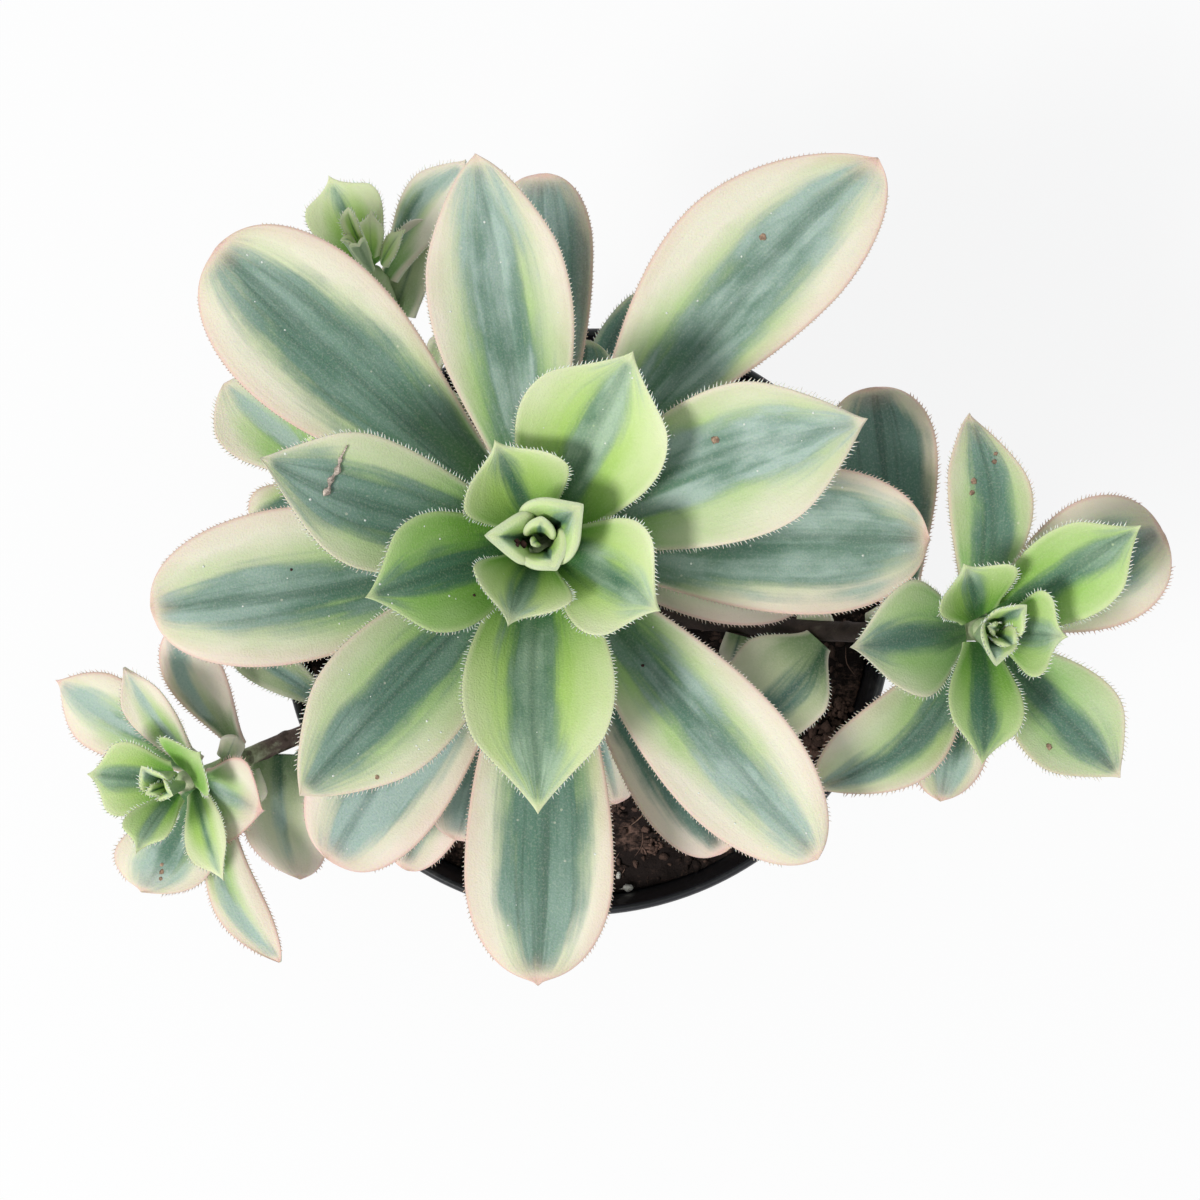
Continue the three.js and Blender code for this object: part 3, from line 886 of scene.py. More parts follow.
GAP = 0.3  # millimetres between a stem and the leaves round it
BLADE_SIDES = 44
BLADE_RINGS = 64
TIP_SHARPNESS = 0.8  # half width in millimetres over which the hard point runs out
YOUNG_AGE = 8
OPEN_AGE = 12
OLD_AGE = 18
SINGLE_AGE = 20
HAIR_ROW = (0.13, 0.955)  # the share of a leaf's length where the hairs start and end
HAIR_STEP = 0.01
HAIR_RADII = (0.13, 0.02)  # at its root and its end
LOOKS = ("stripe", "skew", "bloom", "cream", "blush")
LEAF_LAYERS = ("across", "along", "upper", "inset", "girth", *LOOKS)


def leaf(age, azimuth, reach, width, **more):
    return dict(age=age, azimuth=azimuth, reach=reach, width=width, **more)


def rolled(age, azimuth, reach, width, roll, wrap, height, **more):
    """A leaf still rolled round its bud: roll gives its distance from the axis at base and tip."""
    return leaf(age, azimuth, reach, width, roll=roll, wrap=wrap, height=height, **more)


def single(azimuth, reach, width, pitch, drop=0, **more):
    """An old leaf that stands on its own, with its rise at base and tip in degrees."""
    return leaf(SINGLE_AGE, azimuth, reach, width, pitch=pitch, drop=drop, **more)


def stub(azimuth, reach, width, pitch, cream, stripe=0, **more):
    """A plain short leaf or the base that is left of one."""
    more = dict(waist=0.9, blush=0, point=0, hairs=0) | more
    return single(azimuth, reach, width, pitch, cream=cream, stripe=stripe, **more)


def leaf_shape(age):
    """Outline, thickness and relief of young, open and old leaves."""
    if age < YOUNG_AGE:
        return dict(widest=0.52, blunt=0.85, waist=0.5, thick=0.7, cup=0.012, fold=0.16, groove=0.05,
                    wave=0.25, nip=0.3)
    if age < OPEN_AGE:
        return dict(widest=0.6, blunt=0.72, waist=0.36, thick=1.0, cup=0.01, fold=0.1, groove=0.16,
                    wave=0.5, nip=0.15)
    return dict(widest=0.66, blunt=0.55, waist=0.3, thick=1.1, cup=0.008, fold=0.03, groove=0.3,
                wave=0.8, nip=0.0)


def grown(leaves, spec, place, radius, closeness):
    """A leaf's full description, what its age gives and then what the table says, and its frame.

    Pitch is its rise at base and tip in degrees, from steep in the bud to hanging. Point is how
    much of the hard point is left: old leaves lose it. The looks are shares.
    """
    age = spec["age"]
    full = SimpleNamespace(
        start=radius + GAP, drop=(age + 0.035 * age ** 2) * closeness, roll=None, height=None,
        pitch=(86 * exp(-age / 14) - 8, 62 * exp(-age / 7.5) - 3 - 0.4 * age),
        sweep=0, hairs=1, corner=40, arch=2, claw=1.5, point=mix(0.9, 0.2, smooth(7, 13, age)),
        stripe=mix(0.26, 0.5, smooth(2, 15, age)), skew=0, bloom=0.6,
        cream=mix(0.15, 1, smooth(5, 14, age)), blush=mix(0.05, 0.7, smooth(6, 15, age)))
    vars(full).update(leaf_shape(age) | spec)
    full.seed = (full.azimuth * 0.731 + full.reach * 0.37) % 9.7
    full.tip = leaves.tip_length / MM * full.point
    return full, place @ Matrix.Rotation(radians(full.azimuth), 4, "Z")


def half_width(leaf, along):
    """Half of the blade's width at a share of its length, in millimetres."""
    outer = max(0.0, (along - leaf.widest) / (1 - leaf.widest))
    inner = min(1.0, along / leaf.widest)
    swell = mix(leaf.waist, 1, sin(inner * pi / 2) ** leaf.claw)
    taper = max(0.0, 1 - outer ** leaf.arch) ** leaf.blunt
    return leaf.width / 2 * swell * taper * (1 - leaf.nip * smooth(0.7, 0.97, along))


def blade_point(leaf, along, across, side):
    """A point of an open leaf in its shoot's frame, in millimetres. The blade lies on a bowl round
    the shoot's axis: its height depends on the distance from the axis, so leaves never cross."""
    half = half_width(leaf, along)
    run = leaf.reach - leaf.start - 0.5 * leaf.tip
    out = leaf.start + run * along + leaf.tip * exp(-half / TIP_SHARPNESS)
    x = half * across
    aside = x + leaf.sweep * along ** 3
    radius = hypot(out, aside)
    share = (radius - leaf.start) / run
    base_slope, tip_slope = (tan(radians(p)) for p in leaf.pitch)
    rise = run * (base_slope * share + (tip_slope - base_slope) * share ** 2 / 2)
    slope = atan(base_slope + (tip_slope - base_slope) * share)
    flesh = copysign(abs(side) ** 0.75, side) * (1 if side > 0 else 1.25)
    depth = leaf.thick * (1 - 0.6 * along) * flesh
    if side > 0:
        depth -= leaf.groove * exp(-(x / 1.1) ** 2) * sin(pi * along) * side
    lean = 1 - depth * sin(slope) / radius
    crease = leaf.fold * (hypot(x, 1.0) - 1.0) * smooth(0.1, 0.8, along)
    phase = 6 * along + leaf.seed
    ripple = leaf.wave * sin(phase + 2.2 * across) * across ** 2 * smooth(0.25, 0.9, along)
    dimple = 0.14 * wobble((x, out, 0), 7, leaf.seed)
    height = leaf.cup * x ** 2 + crease + ripple + dimple
    return Vector((out * lean, aside * lean, -leaf.drop + rise + height + depth * cos(slope)))


def rolled_point(leaf, along, across, side):
    """A point of a leaf that is still rolled round the bud: its width runs round the axis."""
    half = half_width(leaf, along)
    inner, outer = leaf.roll
    turn = half * across / leaf.wrap
    corner = radians(leaf.corner)
    flat = cos(corner) / cos(max(0.0, corner - abs(turn)))
    radius = mix(inner, outer, along) * mix(1, flat, smooth(0, 0.5, along))
    radius += leaf.tip * 0.5 * exp(-half / TIP_SHARPNESS)
    turn += radians(leaf.sweep) * along ** 3
    flesh = copysign(abs(side) ** 0.75, side)
    radius -= leaf.thick * (1 - 0.35 * along) * flesh * smooth(0, 1.5, half + 0.4)
    rise = leaf.height * sin(along * pi / 2) ** 0.9
    height = rise + 0.12 * wobble((turn, along, 0), 0.5, leaf.seed)
    return Vector((radius * cos(turn), radius * sin(turn), height))


def leaf_point(leaf, along, across, side):
    shape = rolled_point if leaf.roll else blade_point
    return shape(leaf, along, across, side)


def add_blade(bm, leaf, place):
    """Adds one leaf to bm, from a sphere drawn out along its midrib, with its surface attributes."""
    made = bmesh.ops.create_uvsphere(
        bm, u_segments=BLADE_SIDES, v_segments=BLADE_RINGS, radius=1)["verts"]
    layers = [bm.verts.layers.float[name] for name in LEAF_LAYERS]
    skin = bm.loops.layers.uv["blade"]
    span = leaf.height or leaf.reach - leaf.start
    looks = [getattr(leaf, key) for key in LOOKS]
    flat = {}
    for vertex in made:
        along = (1 + vertex.co.z) / 2
        ring = hypot(vertex.co.x, vertex.co.y)
        across, side = (vertex.co.x / ring, vertex.co.y / ring) if ring > POLE else (0.0, 0.0)
        half = half_width(leaf, along)
        flat[vertex] = (leaf.width / 2 * across + 40 * leaf.seed, span * along + 90 * leaf.seed)
        inset = min(half * (1 - abs(across)), 0.7 * span * (1 - along))
        for layer, value in zip(layers, (across, along, side, inset, 2 * half / leaf.width, *looks)):
            vertex[layer] = value
        vertex.co = place @ leaf_point(leaf, along, across, side)
    for vertex in made:
        for loop in vertex.link_loops:
            loop[skin].uv = flat[vertex]


def add_hairs(bm, leaf, place, size, spacing):
    """Adds the row of short stiff hairs along both margins, slanting towards the tip."""
    draw = random.Random(int(1000 * leaf.seed) + 7)
    flushed = bm.verts.layers.float["blush"]
    for margin in (-1, 1):
        along, end = HAIR_ROW
        while along < end:
            root = leaf_point(leaf, along, margin, 0)
            ahead = leaf_point(leaf, along + HAIR_STEP, margin, 0) - root
            within = leaf_point(leaf, along, 0.9 * margin, 0) - root
            outward = -(within - ahead * within.dot(ahead) / ahead.length_squared).normalized()
            heading = outward + ahead.normalized() * draw.uniform(0.25, 0.85)
            heading += Vector((draw.gauss(0, 0.12), draw.gauss(0, 0.12), draw.gauss(0.1, 0.16)))
            heading.normalize()
            tall = size * draw.uniform(0.6, 1.15) * smooth(0.05, 0.3, along)
            turn = heading.to_track_quat("Z", "Y").to_matrix().to_4x4()
            middle = Matrix.Translation(root + heading * (tall * 0.42))
            made = bmesh.ops.create_cone(
                bm, cap_ends=True, segments=4, radius1=HAIR_RADII[0], radius2=HAIR_RADII[1],
                depth=tall, matrix=place @ middle @ turn)["verts"]
            for vertex in made:
                vertex[flushed] = leaf.blush
                for face in vertex.link_faces:
                    face.material_index = 1
            along += HAIR_STEP * spacing * draw.uniform(0.75, 1.3) / ahead.length


def build_leaf(leaves, name, spec, place, radius, closeness, *nodes):
    age = spec["age"]
    full, place = grown(leaves, spec, place, radius, closeness)
    bm = bmesh.new()
    for layer in LEAF_LAYERS:
        bm.verts.layers.float.new(layer)
    bm.loops.layers.uv.new("blade")
    add_blade(bm, full, place)
    if full.hairs > 0:
        size = leaves.hair_length / MM * full.hairs * mix(1.0, 0.8, smooth(8, 14, age))
        add_hairs(bm, full, place, size, leaves.hair_spacing / MM)
    bmesh.ops.recalc_face_normals(bm, faces=bm.faces[:])
    stage = "young" if age < YOUNG_AGE else "open" if age < OLD_AGE else "old"
    blade = (f"{stage} variegated leaf", blade_material, leaves, stage)
    hairs = ("margin hairs", hair_material, leaves)
    add_piece(name, bm, f"{stage}_leaf", [blade, hairs], *nodes)


def shoot_matrix(place, lean_azimuth=0, lean_angle=0):
    """A shoot's frame in metres: its head at a place, its axis leaning towards an azimuth."""
    hinge = Vector((0, 0, 1)).cross(toward(lean_azimuth))
    turn = Matrix.Rotation(radians(lean_angle), 4, hinge)
    return Matrix.Translation(Vector(place) * MM) @ turn @ Matrix.Scale(MM, 4)


# The place of each shoot's head with the azimuth and angle of its lean, its radius there and how
# close its leaves lie on one another.
SHOOTS = {
    "main": (shoot_matrix((-7.6, 14.4, 171)), 3.2, 1),
    "left": (shoot_matrix((-76, -29.5, 131), 190, 15), 2.2, 0.75),
    "right": (shoot_matrix((68.5, -0.6, 166), 0, 4), 2.5, 0.8),
    "back_left": (shoot_matrix((-40.6, 66.6, 132), 115, 28), 2.2, 0.7),
    "west": (shoot_matrix((-49.5, 27.3, 138), 150, 10), 1.7, 0.6),
}
LEAVES = {
    "main": [
        leaf(2, 251, 14.5, 17, fold=0.34, widest=0.4, blunt=0.95, arch=1.5, nip=0.1, cream=0.55),
        leaf(3, 114, 17, 18.5, fold=0.28, widest=0.42, blunt=0.9, arch=1.6, nip=0.15, cream=0.5),
        leaf(4, 333, 22.5, 20, sweep=-1.5, stripe=0.3, cream=0.75, bloom=1.5),
        leaf(5, 199, 29, 20, stripe=0.34, bloom=0, cream=-0.1),
        leaf(6, 63, 33.5, 25.5, stripe=0.3, bloom=1.3, cream=0.75),
        leaf(7, 270, 44, 25, stripe=0.38, skew=-0.1, bloom=0.9, cream=0.5),
        leaf(8, 170, 46.5, 22, sweep=-5, stripe=0.5, skew=0.05, bloom=0.3, cream=0.3, arch=1.7,
             blunt=0.85),
        leaf(9, 22, 56.5, 25.5, sweep=-2, blunt=0.85, stripe=0.46, skew=0.16, bloom=1.5, point=0.9),
        leaf(10, 227, 57.5, 24, stripe=0.44, bloom=0.25, cream=0.4),
        leaf(11, 99.5, 64.5, 24, blunt=0.65, claw=2.1, stripe=0.46, bloom=1.3, cream=0.9, point=0.6,
             hairs=0.6),
        leaf(12, 311, 70.5, 22.6, stripe=0.36, bloom=1.2, point=0.25, cream=1.1, hairs=0.7),
        leaf(13, 190, 67, 26.5, widest=0.64, blunt=0.45, stripe=0.4, skew=0.15, bloom=0.6, point=0.1,
             hairs=0.7),
        leaf(14, 56, 85.4, 29, sweep=-11, widest=0.7, waist=0.2, claw=2.4, blunt=0.62, arch=1.8,
             stripe=0.44, skew=-0.2, bloom=1.1, cream=1.1, point=0.6, hairs=0.5),
        leaf(15, 269.5, 76, 25.7, widest=0.74, blunt=0.5, stripe=0.58, skew=0.12, bloom=0.2,
             point=0.8, hairs=0.7),
        leaf(16, 138, 76.5, 29.4, widest=0.7, claw=2.3, blunt=0.44, stripe=0.52, bloom=0.3,
             point=0.15, hairs=0.4),
        leaf(17, 0.5, 68, 26, widest=0.68, blunt=0.5, stripe=0.75, bloom=1.0, skew=0.1, point=0.5),
        leaf(18, 234.5, 68, 25, sweep=2, widest=0.7, blunt=0.42, stripe=0.62, bloom=1.2, point=0,
             hairs=0.6, cream=0.7),
        # Painted shade: this leaf is dark teal all over with little cream because it lies in shade.
        leaf(19, 90.5, 66.5, 18.5, widest=0.78, waist=0.16, blunt=0.42, stripe=1.1, cream=0.3,
             bloom=0.7, point=0, hairs=0.5),
        # Painted light: the high cream lightens this leaf, which lies in the shade of the leaf above
        # it.
        leaf(20, 300, 64.5, 18, widest=0.74, blunt=0.42, stripe=0.62, bloom=0, point=0.1, cream=1.6,
             hairs=0.6),
        leaf(23, 253, 57, 18.5, widest=0.74, blunt=0.42, point=0, stripe=0.6, bloom=1),
        leaf(25, 350, 50, 17, blunt=0.45, point=0, stripe=0.3, cream=1, bloom=0.2),
    ],
    "left": [
        leaf(2, 258, 11, 9.5),
        leaf(3.5, 43, 9, 14, cream=-0.1, stripe=-0.4),
        leaf(5, 172, 14.5, 14, cream=0.5),
        leaf(7, 304, 20, 9, stripe=0.2, bloom=2.5, cream=1.3),
        leaf(8.5, 345, 17.5, 16, cream=1.5, blush=0.9, stripe=0.16, bloom=2.2),
        leaf(10, 117, 23.5, 9, blunt=0.9, bloom=3, fold=0.2, point=0.7, cream=1.4, stripe=0.14),
        leaf(12, 254, 23.5, 19, sweep=-4, blunt=0.6, bloom=2.2, stripe=0.5, cream=1.0),
        leaf(13.5, 147, 33, 15, blunt=0.9, bloom=3, point=0.7, cream=1.3, stripe=0.28),
        leaf(15.5, 280, 37, 10.5, sweep=9, blunt=0.75, bloom=3, cream=1.3, stripe=0.2, skew=-0.3),
    ],
    "right": [
        leaf(2, 354, 10.5, 14.5, widest=0.42, fold=0.2),
        leaf(3.5, 118, 12, 15, fold=0.3),
        leaf(5, 260, 22, 13, bloom=0, stripe=0.36, cream=0.05),
        leaf(6.5, 37, 28.5, 16, bloom=0.4, cream=0.1),
        leaf(8, 187, 24, 20, widest=0.46, blunt=0.9, arch=1.6, stripe=0.3, bloom=0, cream=0.15),
        leaf(9.5, 311, 33, 18.5, blunt=0.85, stripe=0.32, bloom=0, cream=0.1),
        leaf(11, 84, 36, 15, sweep=7, bloom=0.1, cream=0.15, stripe=0.42, skew=-0.12, point=0.7),
        leaf(12.5, 238, 38.5, 17, sweep=-10, blunt=0.75, bloom=0.3, cream=0.5, stripe=0.34, skew=0.28),
        leaf(15, 27, 38, 23, point=0.1, blunt=0.45),
        leaf(17, 262, 31, 14, point=0.3, bloom=1, cream=0.6),
    ],
    "back_left": [
        # Painted light: high cream and bloom lighten these leaves, which lie in the shade of the main
        # rosette.
        leaf(6, 114, 17, 14.5, cream=2.2, bloom=2, stripe=0.22),
        leaf(9, 46, 26, 12, fold=0.24, bloom=2.4, stripe=0.3, skew=0.4, cream=2),
    ],
    "west": [
        # Painted light: high cream and bloom lighten this leaf, which lies in shade.
        leaf(10, 135, 24, 17, cream=1.3, bloom=3, stripe=0.2, blunt=0.6, point=0),
    ],
}
LOWER_LEAVES = {
    "main": [
        # Painted shade: the first two are dark all over, with no cream, blush or bloom, because they
        # lie low in the shade of the leaves above.
        leaf(21.5, 79, 38.5, 16, point=0, blunt=0.45, stripe=1, cream=0, blush=0, bloom=0),
        leaf(27, 66, 54, 16, point=0, blunt=0.45, stripe=1, cream=0, blush=0, bloom=0),
        leaf(28, 285, 51, 15, point=0, blunt=0.42, stripe=0.1, widest=0.74),
        leaf(24, 246, 66, 15, point=0, blunt=0.42, stripe=0.5, bloom=0.3, widest=0.74),
    ],
    "back_left": [
        # Painted light: high cream lightens these small leaves, which lie in the shade of the main
        # rosette.
        leaf(4, 30, 8.5, 4.5, stripe=0, cream=1.4),
        leaf(6, 205, 8, 4.5, stripe=0, cream=1.3),
        leaf(3, 80, 8, 5.5, stripe=0, cream=1.4),
    ],
    "west": [leaf(12, 212, 16, 10), leaf(4, 80, 8, 4.5), leaf(6, 48, 9.5, 5)],
}
BUDS = {
    "main": [
        rolled(1, 37, 8.6, 18, (3.4, 8.2), 5.6, 15.5, corner=34, thick=1.5, cream=0.15, hairs=0),
        rolled(0, 177, 8.2, 13.2, (2.8, 7.8), 5.0, 15, corner=45, thick=1.6, cream=0.15, hairs=0),
        rolled(-1, 300, 4.5, 13.5, (3.0, 5.0), 4.4, 14.5, corner=22, thick=1.5, cream=0.2, hairs=0),
        rolled(-2, 82, 2.7, 8, (1.7, 2.9), 2.7, 14, corner=15, thick=1.1, cream=0.2, hairs=0),
        rolled(-3, 220, 1.5, 3, (0.7, 1.1), 1.3, 12.5, corner=10, thick=0.6, hairs=0),
    ],
    "left": [
        rolled(1, 120, 4.4, 8, (1.6, 4.4), 2.8, 9.5),
        rolled(0, 343, 3.4, 6, (1.2, 3.2), 2.2, 9),
        rolled(-1, 205, 2.0, 4, (0.8, 1.9), 1.6, 8.5),
    ],
    "right": [
        rolled(1, 232, 5.9, 11, (2.0, 5.6), 3.8, 12, sweep=25),
        rolled(0, 62, 5.7, 10, (1.8, 5.2), 3.4, 11.5, sweep=-15),
        rolled(-1, 305, 3.9, 7, (1.3, 3.6), 2.6, 10.5),
        rolled(-2, 165, 2.2, 4, (0.7, 1.9), 1.6, 9.5),
    ],
    "back_left": [
        # Painted light: high cream lightens these bud leaves, which lie in the shade of the main
        # rosette.
        rolled(1, 300, 4.0, 5, (1.6, 3.2), 2.8, 10, stripe=0, cream=1.5, hairs=0),
        rolled(0, 90, 3.4, 5, (1.3, 3.0), 2.2, 13, stripe=0, cream=1.6),
        rolled(-1, 200, 2.4, 4.5, (0.8, 2.0), 1.6, 9, stripe=0, cream=1.2),
    ],
    "west": [rolled(1, 250, 3.0, 5, (1.2, 2.6), 2.0, 7)],
}
BUD_NODES = ("main", "left", "right", "back_left")

# Old leaves that stand singly on the branches: where on the branch, its radius there, the leaf.
BRANCH_LEAVES = {
    # Painted light: high cream and bloom lighten this leaf, which lies in the shade of a main leaf
    # above it.
    "left_branch_leaf_hanging": (
        (-66.5, -26, 110), 2,
        single(118, 28, 11, (25, 10), skew=0.5, stripe=0.22, bloom=3, cream=2)),
    # Painted light: high bloom and cream and a narrow band lighten this leaf, which lies in shade.
    "left_branch_leaf_front": (
        (-59.8, -23.5, 106.3), 2,
        single(268, 27, 16, (-5, -20), sweep=4, waist=0.75, bloom=3, stripe=0.14, blunt=0.6, arch=1.7,
               cream=1.3)),
    "left_branch_leaf_inner": (
        (-57, -22.4, 105.5), 2,
        single(311, 31, 15, (-20, -5), 1.2, sweep=10, waist=0.6, blunt=0.45, point=0)),
    "left_branch_leaf_back": (
        (-47.5, -18.2, 103), 2, single(146, 28, 9, (15, 5), stripe=0.2, cream=0, blush=0)),
    "right_branch_leaf_front": (
        (45.5, -1.4, 120.3), 2.2,
        single(228, 26, 20, (0, -20), widest=0.42, point=0, blunt=0.42, skew=0.25, stripe=0.2,
               cream=0.4, blush=0.2, bloom=0)),
    "right_branch_leaf_back": (
        (58, -1.6, 134.5), 2.2,
        single(98, 45, 20, (15, 0), widest=0.74, blunt=0.42, point=0, stripe=0.8, cream=0.3, bloom=0)),
}
# Leaf bases and small leaves on the branches that have no solid of their own in the part.
LEAF_STUBS = [
    ((-31.6, 47.5, 109), 2.1, stub(62, 8.5, 4.5, (50, 40), 0.2)),
    ((-37.5, 57.5, 116.5), 2, stub(66, 19, 9, (42, 30), 0.9, blunt=0.5, hairs=1)),
    ((-70, -28, 114.5), 2, stub(66, 7, 4.8, (30, 20), 0.5)),
    ((-67, -26.7, 111.5), 2, stub(285, 9, 7, (-5, -15), 0.3, stripe=0.1)),
    ((30, -0.2, 109.5), 2, stub(255, 8, 6, (0, -10), 0.8)),
    ((38.5, -1, 115), 1.9, stub(10, 8, 5.5, (48, 40), 0.8)),
    ((51, -1.4, 126), 2, stub(30, 6, 5, (50, 45), 0.6)),
]


class SUCCULENT_OT_rosettes(bpy.types.Operator):
    """Grow the open and old leaves of every rosette"""
    bl_idname = "succulent.rosettes"
    bl_label = "Rosettes"

    def execute(self, context):
        leaves = context.scene.succulent_leaves
        for shoot, details in SHOOTS.items():
            for i, spec in enumerate(LEAVES[shoot], 1):
                node = f"{shoot}_leaf_{i:02d}"
                build_leaf(leaves, f"{node}_blade", spec, *details, node)
            for i, spec in enumerate(LOWER_LEAVES.get(shoot, ()), 1):
                build_leaf(leaves, f"{shoot}_lower_leaf_{i:02d}", spec, *details)
        return {"FINISHED"}


class SUCCULENT_OT_buds(bpy.types.Operator):
    """Roll the youngest leaves into the middle of every rosette"""
    bl_idname = "succulent.buds"
    bl_label = "Buds"

    def execute(self, context):
        leaves = context.scene.succulent_leaves
        for shoot, details in SHOOTS.items():
            for i, spec in enumerate(BUDS[shoot], 1):
                nodes = [f"{shoot}_bud"] if i == 1 and shoot in BUD_NODES else []
                build_leaf(leaves, f"{shoot}_bud_leaf_{i:02d}", spec, *details, *nodes)
        return {"FINISHED"}


class SUCCULENT_OT_branch_leaves(bpy.types.Operator):
    """Set the single old leaves on the branches"""
    bl_idname = "succulent.branch_leaves"
    bl_label = "Branch leaves"

    def execute(self, context):
        leaves = context.scene.succulent_leaves
        for name, (place, radius, spec) in BRANCH_LEAVES.items():
            build_leaf(leaves, f"{name}_blade", spec, shoot_matrix(place), radius, 1, name)
        for i, (place, radius, spec) in enumerate(LEAF_STUBS, 1):
            build_leaf(leaves, f"branch_leaf_base_{i:02d}", spec, shoot_matrix(place), radius, 1)
        return {"FINISHED"}


# ---- debris ----

# Crusts and crumbs: shoot, leaf, share of its length, share across it, radius in millimetres.
SCARS = [
    ("main", 8, 0.57, 0.38, 0.75), ("main", 13, 0.74, 0.15, 0.6), ("main", 9, 0.81, 0.8, 0.4),
    ("right", 7, 0.62, 0.42, 0.5), ("right", 7, 0.68, 0.36, 0.6), ("right", 7, 0.79, -0.3, 0.45),
    ("right", 7, 0.83, -0.45, 0.35), ("right", 6, 0.64, -0.6, 0.6), ("left", 8, 0.48, -0.25, 0.55),
    ("left", 7, 0.72, 0.0, 0.4), ("left", 7, 0.78, 0.1, 0.5), ("left", 7, 0.84, 0.2, 0.4),
]
DARK_BITS = [
    ("main", 4, 0.4, 0.56, 0.3), ("main", 12, 0.62, -0.2, 0.25), ("main", 14, 0.48, 0.05, 0.35),
    ("main", 8, 0.4, 0.7, 0.25), ("main", 11, 0.36, -0.1, 0.3), ("main", 13, 0.3, 0.3, 0.25),
]
BUD_BITS = [
    ("main", 2, 0.62, 0.16, 0.55), ("main", 2, 0.55, 0.3, 0.7), ("main", 2, 0.48, 0.24, 0.5),
    ("main", 2, 0.7, 0.3, 0.35),
]
# The withered stalk lies on one leaf of the main rosette: shares of its length and across it.
STALK = [(0.71, -0.8), (0.73, -0.55), (0.735, -0.35), (0.755, -0.15), (0.755, 0.0), (0.77, 0.18)]
STALK_LEAF = 7
STALK_RADIUS = 0.45
STALK_LIFT = 0.35
STALK_MESH = (10, 60)
FLECKS = 90
FLECK_SEED = 47


def leaf_spot(leaves, table, shoot, index, along, across):
    """A place on the upper face of a leaf, in metres, and the way out of the face there."""
    full, place = grown(leaves, table[shoot][index - 1], *SHOOTS[shoot])
    skin = place @ leaf_point(full, along, across, sqrt(1 - across ** 2))
    inside = place @ leaf_point(full, along, across, 0)
    return skin, (skin - inside).normalized()


def add_scab(bm, spot, out, radius, seed, rise, faces=2):
    """A flat uneven crust on a leaf's face."""
    made = bmesh.ops.create_icosphere(bm, subdivisions=faces, radius=1)["verts"]
    turn = out.to_track_quat("Z", "Y").to_matrix()
    for vertex in made:
        rough = 1 + 0.5 * wobble(vertex.co, 0.6, seed)
        vertex.co.z *= rise
        vertex.co = spot + turn @ (vertex.co * rough * radius * MM)


def add_scabs(bm, leaves, table, spots, seed, rise, lift=0):
    for i, (*where, radius) in enumerate(spots):
        spot, out = leaf_spot(leaves, table, *where)
        add_scab(bm, spot + out * radius * lift * MM, out, radius, seed + i, rise)


def stalk_girth(vertex, share):
    knot = 0.55 + 0.45 * sin(9.5 * pi * share) + 0.35 * wobble(vertex.co, 0.3, 4.0)
    return STALK_RADIUS * (0.35 + knot * smooth(0.15, 0.4, share)) * smooth(1.0, 0.96, share)


class SUCCULENT_OT_debris(bpy.types.Operator):
    """Scatter scars, a withered stalk, dark crumbs and dust over the leaves"""
    bl_idname = "succulent.debris"
    bl_label = "Debris"

    def execute(self, context):
        debris = context.scene.succulent_debris
        leaves = context.scene.succulent_leaves
        bm = bmesh.new()
        add_scabs(bm, leaves, LEAVES, SCARS, 3.0, 0.3)
        add_piece("leaf_scars", bm, "stem_bark", [("corky scar", husk_material, debris.scab)])

        bm = bmesh.new()
        add_scabs(bm, leaves, LEAVES, DARK_BITS, 7.0, 0.5)
        add_scabs(bm, leaves, BUDS, BUD_BITS, 11.0, 0.8, 0.4)
        add_piece("dark_bits", bm, "soil", [("dark crumbs", husk_material, debris.soot)])

        bm = bmesh.new()
        points = []
        for along, across in STALK:
            spot, out = leaf_spot(leaves, LEAVES, "main", STALK_LEAF, along, across)
            points.append((spot + out * STALK_LIFT * MM) / MM)
        add_tube(bm, points, *STALK_MESH, stalk_girth)
        bmesh.ops.recalc_face_normals(bm, faces=bm.faces[:])
        husk = ("withered stalk", husk_material, debris.husk)
        add_piece("withered_stalk", bm, "stem_bark", [husk])

        bm = bmesh.new()
        draw = random.Random(FLECK_SEED)
        for _ in range(FLECKS):
            where = draw.randint(4, 17), draw.uniform(0.3, 0.95), draw.uniform(-0.85, 0.85)
            spot, out = leaf_spot(leaves, LEAVES, "main", *where)
            add_scab(bm, spot, out, draw.uniform(0.12, 0.26), draw.uniform(0, 40), 0.4, 1)
        add_piece("dust_flecks", bm, "soil", [("dust flecks", speck_material, debris)])
        return {"FINISHED"}


# ---- studio ----

FLOOR_HALF = 4  # half the side of the floor, in metres
SENSOR = 36
LENS_OVER = (2.4 * MM, 4.4 * MM)  # the camera hangs over this place
KEY_AIM = 150 * MM  # the height that the lamp is turned to


def soft_world(studio):
    """Even light from all around in front of a pale backdrop."""
    world = bpy.data.worlds.new("soft daylight")
    world.use_nodes = True
    tree = world.node_tree
    sky = tree.nodes["Background"]
    sky.inputs["Color"].default_value = (*studio.sky, 1)
    sky.inputs["Strength"].default_value = studio.sky_strength
    backdrop = tree.nodes.new("ShaderNodeBackground")
    backdrop.inputs["Color"].default_value = (*studio.floor, 1)
    seen = tree.nodes.new("ShaderNodeLightPath")
    either = tree.nodes.new("ShaderNodeMixShader")
    tree.links.new(seen.outputs["Is Camera Ray"], either.inputs[0])
    tree.links.new(sky.outputs[0], either.inputs[1])
    tree.links.new(backdrop.outputs[0], either.inputs[2])
    tree.links.new(either.outputs[0], tree.nodes["World Output"].inputs["Surface"])
    return world


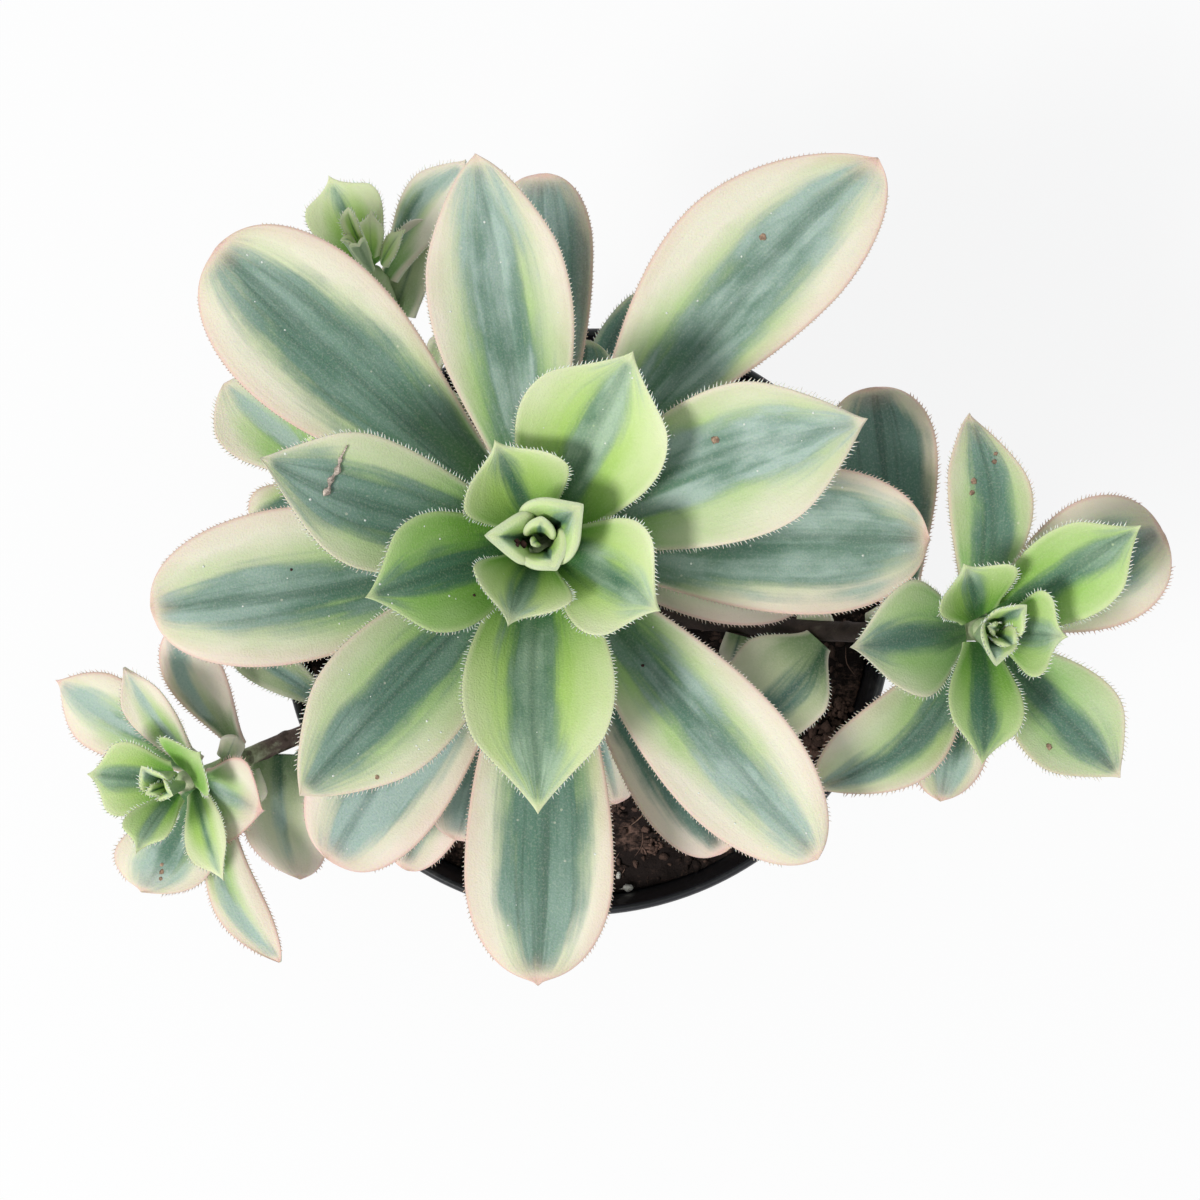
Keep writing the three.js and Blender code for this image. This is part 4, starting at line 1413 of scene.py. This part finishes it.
class SUCCULENT_OT_studio(bpy.types.Operator):
    """Set up the pale floor, the soft light and the camera"""
    bl_idname = "succulent.studio"
    bl_label = "Studio"

    def execute(self, context):
        scene = context.scene
        studio = scene.succulent_studio
        bm = bmesh.new()
        bmesh.ops.create_grid(bm, x_segments=1, y_segments=1, size=FLOOR_HALF)
        mesh = new_mesh("studio_floor", bm)
        mesh.materials.append(kept_material("pale floor", floor_material, studio))
        floor = linked("studio_floor", mesh)

        scene.world = soft_world(studio)
        lamp = bpy.data.lights.new("key_panel", "AREA")
        lamp.shape = "DISK"
        lamp.size = studio.key_size
        lamp.energy = studio.key_power
        lamp.color = studio.key
        key = linked("key_panel", lamp)
        tilt = radians(studio.key_tilt)
        sight = toward(studio.key_azimuth) * sin(tilt) + Vector((0, 0, cos(tilt)))
        key.location = Vector((0, 0, KEY_AIM)) + sight * studio.key_distance
        key.rotation_euler = sight.to_track_quat("Z", "Y").to_euler()

        lens = bpy.data.cameras.new("photo_camera")
        lens.lens = studio.lens
        lens.sensor_width = SENSOR
        scene.camera = linked("photo_camera", lens)
        scene.camera.location = (*LENS_OVER, studio.camera_height)
        scene.view_settings.view_transform = "Standard"
        return {"FINISHED"}


# ---- panel ----

OPERATORS = (
    SUCCULENT_OT_pot, SUCCULENT_OT_soil, SUCCULENT_OT_stems, SUCCULENT_OT_rosettes,
    SUCCULENT_OT_buds, SUCCULENT_OT_branch_leaves, SUCCULENT_OT_debris, SUCCULENT_OT_studio,
)


class SUCCULENT_PT_sidebar(bpy.types.Panel):
    """Lists the settings and the steps that build the plant"""
    bl_idname = "SUCCULENT_PT_sidebar"
    bl_label = "Potted Succulent"
    bl_space_type = "VIEW_3D"
    bl_region_type = "UI"
    bl_category = "Succulent"

    def draw(self, context):
        for operator in OPERATORS:
            self.layout.operator(operator.bl_idname)
        for name, group in SETTINGS.items():
            box = self.layout.box()
            for key in group.__annotations__:
                box.prop(getattr(context.scene, name), key)


CLASSES = (*SETTINGS.values(), *OPERATORS, SUCCULENT_PT_sidebar)


def register():
    for cls in CLASSES:
        bpy.utils.register_class(cls)
    for name, group in SETTINGS.items():
        setattr(bpy.types.Scene, name, PointerProperty(type=group))


def unregister():
    for name in SETTINGS:
        delattr(bpy.types.Scene, name)
    for cls in reversed(CLASSES):
        bpy.utils.unregister_class(cls)


def main():
    register()
    for operator in OPERATORS:
        name = operator.bl_idname.split(".")[1]
        getattr(bpy.ops.succulent, name)()


if __name__ == "__main__":
    main()
